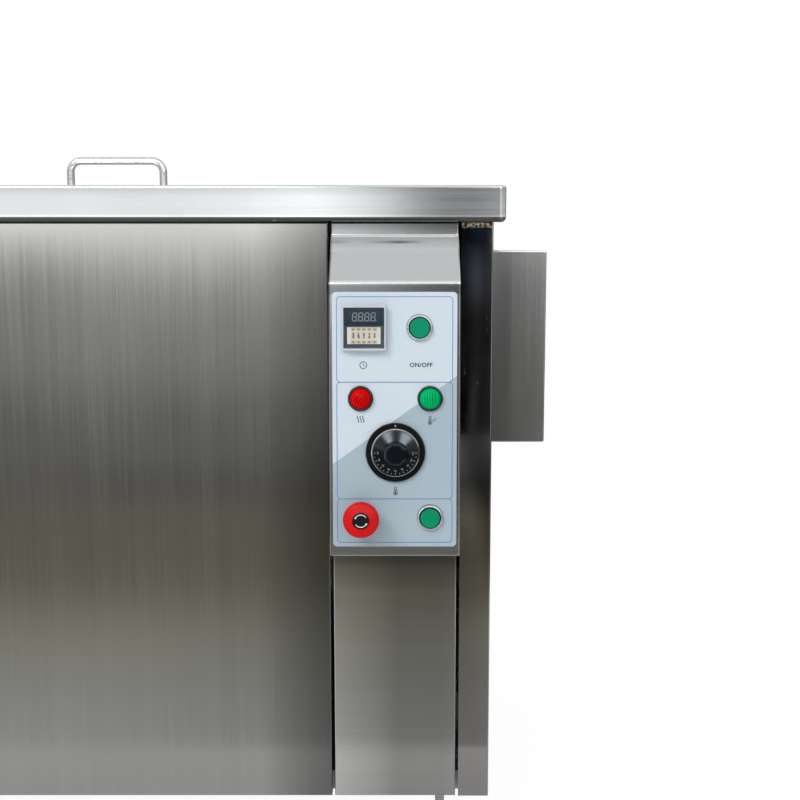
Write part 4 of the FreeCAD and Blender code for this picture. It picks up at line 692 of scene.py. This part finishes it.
# Digit switches: a beige moulded block with five white drums on one axle, each with the figures 0 to 9.
# A small sprung key above and below each drum steps it; an arrow is marked on every key.
switch_beige = moulded("switch_beige", (0.80, 0.77, 0.67), 0.45, shine=0.15)
drum_white = moulded("drum_white", (0.78, 0.75, 0.66), 0.42, shine=0.15)
key_tan = moulded("key_tan", (0.55, 0.47, 0.33), 0.45, shine=0.15)
drum_ink = ink("drum_ink", (0.030, 0.024, 0.022))
drum_red = ink("drum_red", (0.30, 0.07, 0.045))
dress(switch_beige, "digit_switch_block")
drum_faces = 10
drum_step = 2 * math.pi / drum_faces
drum_radius = 7.5
flat_radius = drum_radius * math.cos(math.pi / drum_faces)
drum_figure = 4.3
red_wheel = 3
key_face = 1.3
upright = Matrix.Rotation(math.pi / 2 - console_lean, 4, "X")
for number in range(1, 6):
    wheel = f"digit_wheel_{number}"
    dress(drum_white, wheel)
    low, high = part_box(wheel)
    axis = (low + high) / 2
    digits = []
    for figure in range(drum_faces):
        bm = lettering(str((figure + 3 * number) % drum_faces), drum_figure, 0.15)
        thicken(bm, print_rise)
        turn = Matrix.Rotation(figure * drum_step, 4, "X")
        bm.transform(turn @ Matrix.Translation((0, 0, flat_radius)))
        digits.append((bm, (0, 0)))
    settle(f"drum_figures_{number}", gather(*digits), Matrix.Translation(axis) @ upright,
           drum_red if number == red_wheel else drum_ink, wheel)
    for kind, turn in (("plus", 0), ("minus", math.pi)):
        key = f"{kind}_key_{number}"
        dress(key_tan, key)
        low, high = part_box(key)
        bm = disc(0.9, 3)
        bmesh.ops.rotate(bm, verts=bm.verts, matrix=Matrix.Rotation(turn, 3, "Z"))
        thicken(bm, print_rise)
        top = (low + high) / 2 + out_face * key_face * MM
        settle(f"{kind}_arrow_{number}", bm, Matrix.Translation(top) @ upright, drum_ink, key)


# Clear cover: one injection-moulded shell of clear plastic with polished faces, which swings on two ears of
# the timer's case. Only its face is fully clear.
def measured(tree, operation, vector):
    """A vector's length, or the vector with all its parts positive."""
    node = tree.nodes.new("ShaderNodeVectorMath")
    node.operation = operation
    tree.links.new(vector, node.inputs[0])
    return node.outputs["Value" if operation == "LENGTH" else "Vector"]


def clear_plastic(name):
    """Clear over the face, and frosted on the walls and hinge."""
    material, tree, shader = new_finish(name)
    wipe = pattern(tree, 90.0, detail=3.0)
    face = framed(tree, timer_middle, (math.pi / 2 - console_lean, 0, 0))
    axes = split(tree, measured(tree, "ABSOLUTE", face))
    border = combine(tree, "MAXIMUM", axes["X"], axes["Y"])
    wide = spread(tree, border, 0.0, 1.0, 0.0234, 0.0240)
    feed(tree, shader, tones(tree, wide, (0.98, 0.985, 1.0), (0.66, 0.68, 0.74), 0.0, 1.0),
         spread(tree, wipe, 0.02, 0.07))
    shader.inputs["IOR"].default_value = 1.12
    tree.links.new(spread(tree, wide, 1.0, 0.15, 0.0, 1.0), shader.inputs["Transmission Weight"])
    return material


dress(clear_plastic("cover_clear"), "timer_cover")


# Pushbuttons: flat green caps in satin-plated bezels, with a black rubber seal round the cap and a grey
# gasket under the bezel. The caps are sprung and sink when pressed.
def plated(name, colour, roughness, metal=1.0):
    """Satin plating with fine turning marks."""
    material, tree, shader = new_finish(name)
    marks = pattern(tree, 1600.0, detail=2.0)
    shader.inputs["Metallic"].default_value = metal
    feed(tree, shader, tones(tree, marks, shade(colour, 0.92), shade(colour, 1.05)),
         spread(tree, marks, roughness - 0.04, roughness + 0.06))
    return material


def lathe(outline, closed=True, steps=72):
    """A turned shape from its outline of radius and height."""
    bm = bmesh.new()
    points = [bm.verts.new((radius, 0, height)) for radius, height in outline]
    links = list(zip(points, points[1:])) + ([(points[-1], points[0])] if closed else [])
    edges = [bm.edges.new(pair) for pair in links]
    bmesh.ops.spin(bm, geom=points + edges, axis=(0, 0, 1), cent=(0, 0, 0), angle=2 * math.pi, steps=steps,
                   use_merge=True)
    bmesh.ops.remove_doubles(bm, verts=bm.verts, dist=1e-4)
    bmesh.ops.recalc_face_normals(bm, faces=bm.faces)
    return bm


bezel_silver = plated("bezel_silver", (0.80, 0.84, 0.87), 0.26, metal=0.7)
cap_green = moulded("cap_green", (0.0, 0.27, 0.135), 0.45, shine=0.08)
seal_black = moulded("seal_black", (0.0015, 0.006, 0.005), 0.5, shine=0.05)
dress(bezel_silver, "pushbutton_bezels")
gasket_grey = moulded("gasket_grey", (0.22, 0.23, 0.235), 0.5)
seal = [(11.58, 5.6), (11.80, 4.2), (12.70, 4.2), (12.95, 5.7), (12.70, 6.0), (11.75, 6.0)]
gasket = [(14.68, 0.05), (15.45, 0.05), (15.45, 0.6), (15.2, 0.85), (14.68, 0.85)]
for button in ("on_off", "start"):
    dress(cap_green, f"{button}_cap")
    settle(f"{button}_seal", lathe(seal), seat(f"{button}_cap"), seal_black, "cabinet")
    settle(f"{button}_gasket", lathe(gasket), seat(f"{button}_cap"), gasket_grey, "cabinet")


# Lamps: ribbed translucent lenses pressed into dark plated bezels, with a bright turned edge round each.
# The ribs inside the lens show as dark slanted bars.
def ribbed_lens(name, colour, node, turn):
    """Translucent plastic, darker along the ribs inside it, with painted shade towards its edge."""
    material, tree, shader = new_finish(name)
    low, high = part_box(node)
    face = framed(tree, (low + high) / 2, (0, math.radians(turn), 0))
    ribs = tree.nodes.new("ShaderNodeTexWave")
    ribs.bands_direction = "X"
    ribs.inputs["Scale"].default_value = 105.0
    ribs.inputs["Distortion"].default_value = 2.2
    ribs.inputs["Detail"].default_value = 2.0
    ribs.inputs["Detail Scale"].default_value = 0.6
    tree.links.new(face, ribs.inputs["Vector"])
    reach = measured(tree, "LENGTH", face)
    inner = spread(tree, reach, 1, 0, 0.0070, 0.0100)
    bars = combine(tree, "MULTIPLY", spread(tree, ribs.outputs["Fac"], 1, 0, 0.12, 0.42), inner)
    # Painted shade towards the edge of the lens.
    edge = spread(tree, reach, 0, 0.85, 0.0112, 0.0136)
    dark = combine(tree, "ADD", bars, edge)
    tree.links.new(tones(tree, dark, colour, shade(colour, 0.34), 0.0, 1.0), shader.inputs["Base Color"])
    shader.inputs["Roughness"].default_value = 0.22
    shader.inputs["Specular IOR Level"].default_value = 0.04
    relief(tree, shader, ribs.outputs["Fac"], 0.00012, 0.5)
    return material


bezel_dark = plated("bezel_dark", (0.10, 0.11, 0.115), 0.26)
dress(bezel_dark, "lamp_bezels")
lamp_edge = [(15.11, 0.1), (15.11, 1.1), (14.35, 1.9), (14.15, 1.7), (14.75, 0.9), (14.75, 0.1)]
for lamp, colour, turn in (("heater_lamp", (0.68, 0.003, 0.003), 24),
                           ("ready_lamp", (0.0, 0.50, 0.16), -4)):
    dress(ribbed_lens(f"{lamp}_lens", colour, f"{lamp}_lens", turn), f"{lamp}_lens")
    settle(f"{lamp}_edge", lathe(lamp_edge), seat(f"{lamp}_lens"), bezel_silver, "cabinet")


# Stop button: a red moulded mushroom head on a steel stem that slides in a black collar.
# A black disc is set in the head, with two white arc arrows that show which way to twist it free.
stop_red = moulded("stop_red", (0.65, 0.002, 0.004), 0.42, shine=0.16)
black_plastic = moulded("black_plastic", (0.007, 0.008, 0.009), 0.36, shine=0.22)
arrow_white = ink("arrow_white", (0.78, 0.80, 0.80))
dress(stop_red, "stop_head")
dress(black_plastic, "stop_collar")
dress(turned_steel, "stop_stem")
stop_place = seat("stop_head")
stop_face = 32.13
disc_rise = 0.75
arrow_radius = 7.2
arrow_sweep = 108
settle("stop_disc", lathe([(0, 0), (9.85, 0), (9.85, 0.5), (9.5, disc_rise), (0, disc_rise)], closed=False),
       stop_place @ Matrix.Translation((0, 0, stop_face * MM)), black_plastic, "stop_head")
arrows = []
for start in (35, 215):
    tip = math.radians(start + arrow_sweep + 4)
    head = disc(1.6, 3)
    head.transform(Matrix.Rotation(tip, 4, "Z") @ Matrix.Translation((arrow_radius, 0.4, 0))
                   @ Matrix.Rotation(math.radians(90), 4, "Z"))
    arrows += [(band(arrow_radius, 1.0, start, arrow_sweep, 18), (0, 0)), (head, (0, 0))]
bm = gather(*arrows)
thicken(bm, print_rise)
disc_face = stop_place @ Matrix.Translation((0, 0, (stop_face + 0.76) * MM))
settle("stop_arrows", bm, disc_face, arrow_white, "stop_head")


# Thermostat dial: a glossy black moulded knob with a bright rim and an eight-sided grip, in a black ring.
# White figures and marks are printed on its cone, and a white dot on the ring shows the setting.
gloss_black = moulded("gloss_black", (0.002, 0.004, 0.007), 0.17, 500.0, 0.000002, shine=0.42)
gloss_black.node_tree.nodes["Principled BSDF"].inputs["Specular Tint"].default_value = (0.80, 0.92, 1.0, 1)
ring_black = moulded("ring_black", (0.006, 0.006, 0.006), 0.20, 500.0, 0.000002, shine=0.25)
rim_chrome = plated("rim_chrome", (0.55, 0.56, 0.57), 0.12)
dial_white = ink("dial_white", (0.38, 0.41, 0.45))
dress(ring_black, "dial_ring")
dress(gloss_black, "dial_knob")
dial_place = seat("dial_knob")
settle("dial_rim", lathe([(28.3, 7.0), (28.3, 7.75), (27.5, 8.58), (26.6, 8.62), (26.4, 8.4), (27.4, 7.6)]),
       dial_place, rim_chrome, "dial_knob")
bm = disc(1.0)
thicken(bm, print_rise)
settle("dial_dot", bm, dial_place @ Matrix.Translation(Vector((0, 31.4, 4.8)) * MM), dial_white, "cabinet")
cone_foot = 26.45
cone_rise = 8.5
cone_neck = 14.5
cone_top = 12.5
cone_slope = math.atan((cone_top - cone_rise) / (cone_foot - cone_neck))
mark_step = 11.25
mark_radius = 24.2
number_radius = 20.3
number_height = 2.1
dial_marks = []
for step in range(17):
    angle = math.radians(90 + mark_step * step)
    figures = step % 2 == 0
    drawings = [(stroke([(0, -1.2 if figures else -0.4), (0, 1.0)], 0.5), mark_radius)]
    if figures:
        drawings.append((lettering(str(30 + 10 * (step // 2)), number_height), number_radius))
    for bm, radius in drawings:
        thicken(bm, print_rise)
        rise = cone_rise + (cone_foot - radius) * math.tan(cone_slope)
        bm.transform(Matrix.Rotation(angle, 4, "Z") @ Matrix.Translation((0, radius, rise))
                     @ Matrix.Rotation(-cone_slope, 4, "X"))
        dial_marks.append((bm, (0, 0)))
settle("dial_marks", gather(*dial_marks), dial_place, dial_white, "dial_knob")
grip_top = 21.6
settle("dial_insert", lathe([(0, 0), (9.8, 0), (9.8, 0.25), (9.55, 0.45), (0, 0.45)], closed=False),
       dial_place @ Matrix.Translation((0, 0, grip_top * MM)), gloss_black, "dial_knob")


# Side box: a folded stainless terminal box screwed to the side, with a lift-off cover and a cable gland.
# Four flush socket screws hold the cover at the corners of its outer face.
cover_low, cover_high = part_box("side_box_cover")
box_steel = brushed_steel("box_steel", (0.53, 0.53, 0.52), 0.17, "Z", contrast=0.03)
# Painted light: the box's body has a much lighter copy of the cover's steel.
box_body_painted_light = brushed_steel("box_body_painted_light", (0.84, 0.84, 0.83), 0.17, "Z", contrast=0.03)
# Painted light: the cover lightens towards its outer end.
paint_light_and_shade(box_steel, "X", ((cover_low.x, 1.0), (cover_low.x + 0.02, 1.0), (cover_high.x, 1.35)))
dress(box_body_painted_light, "side_box")
dress(box_steel, "side_box_cover")
outward = Matrix.Rotation(math.pi / 2, 4, "Y")
corner_inset = 0.014
panel_screw = 8.0
for i, y in enumerate((cover_low.y + corner_inset, cover_high.y - corner_inset)):
    for j, z in enumerate((cover_low.z + corner_inset, cover_high.z - corner_inset)):
        place = Matrix.Translation((cover_high.x, y, z)) @ outward
        socket_screw(f"box_screw_{i}_{j}", place, panel_screw, "cabinet", dome=0.05)
dress(black_plastic, "cable_gland")


# Rear: button-head screws along the rear panel's edges, the drain tube with its ball valve, and the lever.
# Valve body and lever are nickel plated; the lever's grip end is dipped in red vinyl.
rear_low, rear_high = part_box("rear_panel")
edge_inset = 0.012
end_inset = 0.03
face_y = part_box("fan_frame")[1].y + 0.0015
rearward = Matrix.Rotation(-math.pi / 2, 4, "X")
screw_rows = 5
for i, x in enumerate((rear_low.x + edge_inset, rear_high.x - edge_inset)):
    for j in range(screw_rows):
        z = rear_low.z + end_inset + j * (rear_high.z - rear_low.z - 2 * end_inset) / (screw_rows - 1)
        place = Matrix.Translation((x, face_y, z)) @ rearward
        socket_screw(f"rear_screw_{i}_{j}", place, panel_screw, "cabinet")


def dipped(name, plating, vinyl, start):
    """Plated metal whose end, from a place along X, is dipped in soft vinyl."""
    material, tree, shader = new_finish(name)
    covered = spread(tree, split(tree, own(tree))["X"], 0, 1, start - 0.0002, start + 0.0002)
    marks = pattern(tree, 900.0, detail=2.0)
    bare = tones(tree, marks, shade(plating, 0.92), shade(plating, 1.05))
    coated = tones(tree, marks, shade(vinyl, 0.9), shade(vinyl, 1.1))
    gloss = combine(tree, "ADD", spread(tree, covered, 0.26, 0.42, 0, 1), spread(tree, marks, -0.03, 0.03))
    feed(tree, shader, blended(tree, bare, coated, covered), gloss)
    tree.links.new(spread(tree, covered, 1, 0, 0, 1), shader.inputs["Metallic"])
    return material


plating = (0.66, 0.655, 0.63)
grip_length = 0.058
grip_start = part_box("drain_lever")[1].x - grip_length
dress(plated("valve_plate", plating, 0.28), "drain_valve_body")
dress(dipped("lever_plate", plating, (0.42, 0.018, 0.018), grip_start), "drain_lever")
dress(tank_steel, "drain_pipe")


# Inside the bay and under the tank: transducer horns, heater mats, generator, switchgear, thermostat,
# contact blocks and fan, in machined or extruded aluminium, silicone rubber and moulded plastic.
horn_aluminium = brushed_steel("horn_aluminium", (0.68, 0.69, 0.70), 0.34, "Y", bow=0.0)
dress(horn_aluminium, "transducers", "ultrasonic_generator")
dress(moulded("heater_rubber", (0.30, 0.075, 0.035), 0.6), "tank_heaters")
dress(moulded("device_grey", (0.42, 0.43, 0.43), 0.5), "din_rail_devices")
dress(black_plastic, "contact_blocks", "thermostat_body", "fan_frame", "fan_impeller")


# Studio: a white floor and surround, a soft key at the upper left, two softboxes, and grey cards that the
# steel reflects. The camera doesn't see the cards.
def stage_plane(name, material, place, width, height):
    """A flat piece of the studio."""
    bm = bmesh.new()
    bmesh.ops.create_grid(bm, x_segments=1, y_segments=1, size=0.5)
    bm.transform(place @ Matrix.Diagonal((width, height, 1, 1)))
    card = made(name, bm, material)
    return card


def ray_mix(tree, low, high):
    """One strength for the camera, gloss and glass, and another for the light that falls on the object."""
    path = tree.nodes.new("ShaderNodeLightPath")
    seen = combine(tree, "MAXIMUM", path.outputs["Is Camera Ray"], path.outputs["Is Glossy Ray"])
    seen = combine(tree, "MAXIMUM", seen, path.outputs["Is Transmission Ray"])
    return spread(tree, seen, low, high, 0, 1)


def mirrored(tree, tone):
    """A tone that only gloss sees; everything else sees it in full."""
    path = tree.nodes.new("ShaderNodeLightPath")
    return combine(tree, "MAXIMUM", tone, spread(tree, path.outputs["Is Glossy Ray"], 1, 0, 0, 1))


floor_white, tree, shader = new_finish("floor_white")
shader.inputs["Base Color"].default_value = (0.9, 0.9, 0.9, 1)
shader.inputs["Roughness"].default_value = 0.9
glow = tree.nodes.new("ShaderNodeEmission")
# For gloss the floor is darker near the object: a painted shadow seen only in reflections.
distance = spread(tree, measured(tree, "LENGTH", own(tree)), 0.30, 0.9, 0.5, 2.4)
tree.links.new(spread(tree, mirrored(tree, distance), 0, 1.09, 0, 1), glow.inputs["Strength"])
blend = tree.nodes.new("ShaderNodeMixShader")
tree.links.new(ray_mix(tree, 0.0, 0.85), blend.inputs["Fac"])
tree.links.new(shader.outputs["BSDF"], blend.inputs[1])
tree.links.new(glow.outputs["Emission"], blend.inputs[2])
tree.links.new(blend.outputs["Shader"], tree.nodes["Material Output"].inputs["Surface"])
stage_plane("floor", floor_white, Matrix.Identity(4), 30, 30)


def card_finish(name, strength, first, second=None):
    """A card that glows in greys; each band of tones names the axis that it runs along."""
    material, tree, shader = new_finish(name)
    tree.nodes.remove(shader)
    axes = split(tree, own(tree))
    glow = tree.nodes.new("ShaderNodeEmission")
    glow.inputs["Strength"].default_value = strength
    colour = graded(tree, axes[first[0]], first[1])
    if second:
        colour = blended(tree, colour, graded(tree, axes[second[0]], second[1]))
    tree.links.new(colour, glow.inputs["Color"])
    tree.links.new(glow.outputs["Emission"], tree.nodes["Material Output"].inputs["Surface"])
    return material


room_heights = ((0.0, 0.070), (0.10, 0.078), (0.23, 0.165), (0.40, 0.172), (0.52, 0.17), (0.62, 0.22),
                (0.72, 0.36), (0.79, 0.66), (0.825, 1.12), (0.86, 1.05), (0.93, 0.84), (1.15, 0.78),
                (1.4, 0.5), (2.5, 0.35))
room_widths = ((-2.5, 0.6), (-0.31, 0.63), (-0.20, 0.73), (-0.10, 0.765), (-0.036, 0.776), (0.01, 0.765),
               (0.10, 0.616), (0.19, 0.50), (0.235, 0.397), (0.28, 0.19), (0.33, 0.150), (0.55, 0.14),
               (0.68, 0.34), (1.2, 0.4), (2.5, 0.5))
floor_depths = ((-3.5, 0.16), (-3.1, 0.15), (-2.55, 0.062), (-2.1, (0.155, 0.143, 0.107)),
                (-1.7, (0.120, 0.111, 0.082)), (-1.4, (0.155, 0.146, 0.113)), (-1.15, (0.25, 0.25, 0.205)),
                (-0.6, 0.34))
floor_widths = ((-2.5, 1.1), (-0.3, 1.1), (0.1, 0.85), (0.36, 0.78), (0.43, 1.1), (0.465, 0.6),
                (0.48, 0.38), (0.56, 0.38), (0.62, 1.2), (0.75, 1.7), (2.5, 1.2))
strip_heights = ((0.0, 0.030), (0.19, 0.030), (0.32, 0.016), (0.44, 0.016), (0.50, 0.030),
                 (0.56, (0.050, 0.060, 0.074)), (0.62, (0.060, 0.072, 0.088)),
                 (0.68, (0.036, 0.048, 0.066)), (0.735, (0.002, 0.006, 0.012)),
                 (0.80, (0.006, 0.020, 0.040)), (0.90, (0.002, 0.006, 0.012)), (1.05, 0.01))
strip_widths = ((0.43, 0.1), (0.490, 0.1), (0.502, 1.2), (0.525, 1.6), (0.538, 0.5), (0.555, 0.6),
                (0.585, 0.8))
even = ("Z", ((0.0, 1.0), (3.0, 1.0)))
room = card_finish("front_room", 2.4, ("Z", room_heights), ("X", room_widths))
ground = card_finish("floor_shade", 1.0, ("Y", floor_depths), ("X", floor_widths))
strip = card_finish("strip_shade", 1.0, ("Z", strip_heights), ("X", strip_widths))
sheen = card_finish("panel_glow", 12.0, even)
dim = card_finish("flag_shade", 1.0, ("Z", ((0.0, 0.05), (0.60, 0.12), (0.78, 0.25), (1.5, 0.25))))
bright = card_finish("rear_glow", 1.3, even)
lying = Matrix.Identity(4)
facing_front = Matrix.Rotation(math.pi / 2, 4, "X")
facing_side = Matrix.Rotation(math.pi / 2, 4, "Z") @ facing_front
for name, material, place, turn, width, height in (
        ("front_card", room, (0, -3.5, 1.25), facing_front, 5.0, 2.5),
        ("floor_card", ground, (0, -2.05, 0.004), lying, 5.0, 2.9),
        ("strip_card", strip, (0.5075, -3.45, 0.525), facing_front, 0.155, 1.05),
        ("left_panel", sheen, (-0.73, -3.4, 2.15), facing_front, 0.86, 0.6),
        ("right_panel", sheen, (1.45, -3.4, 1.97), facing_front, 1.1, 0.86),
        ("low_flag", dim, (1.5, -0.4, 0.375), facing_side, 1.7, 0.75),
        ("rear_flag", dim, (2.0, 2.1, 0.75), facing_side, 3.3, 1.5),
        ("rear_card", bright, (0.75, 2.6, 0.95), facing_front, 1.2, 0.7)):
    card = stage_plane(name, material, Matrix.Translation(place) @ turn, width, height)
    card.visible_camera = False
    card.visible_diffuse = False
    card.visible_shadow = False

world = bpy.data.worlds.new("studio")
world.use_nodes = True
bpy.context.scene.world = world
surround = world.node_tree.nodes["Background"]
surround.inputs["Color"].default_value = (1, 1, 1, 1)
tree = world.node_tree
height = spread(tree, split(tree, own(tree, "Generated"))["Z"], 0.55, 1.0, 0.0, 0.5)
tree.links.new(combine(tree, "MULTIPLY", ray_mix(tree, 0.50, 1.0), mirrored(tree, height)),
               surround.inputs["Strength"])

aim = Vector((0.23, -0.33, 0.6))
for name, place, width, height, power in (("key", (-1.3, -2.2, 2.4), 0.7, 0.7, 30.0),
                                          ("left_softbox", (-0.50, -3.4, 2.55), 0.8, 1.7, 17.0),
                                          ("right_softbox", (1.05, -3.4, 2.55), 0.8, 1.7, 13.0)):
    light = bpy.data.lights.new(name, "AREA")
    light.shape = "RECTANGLE"
    light.size = width
    light.size_y = height
    light.energy = power
    lamp = bpy.data.objects.new(name, light)
    lamp.location = place
    lamp.rotation_euler = (aim - lamp.location).to_track_quat("-Z", "Y").to_euler()
    lamp.visible_camera = False
    bpy.context.collection.objects.link(lamp)

lens = bpy.data.cameras.new("camera")
lens.lens = 56.25
lens.sensor_width = 36.0
camera = bpy.data.objects.new("camera", lens)
camera_tilt = math.radians(81.9)
camera.location = (0.239, -1.7858, 0.8065)
camera.rotation_euler = (camera_tilt, 0, 0)
bpy.context.collection.objects.link(camera)
bpy.context.scene.camera = camera
bpy.context.scene.view_settings.view_transform = "Standard"
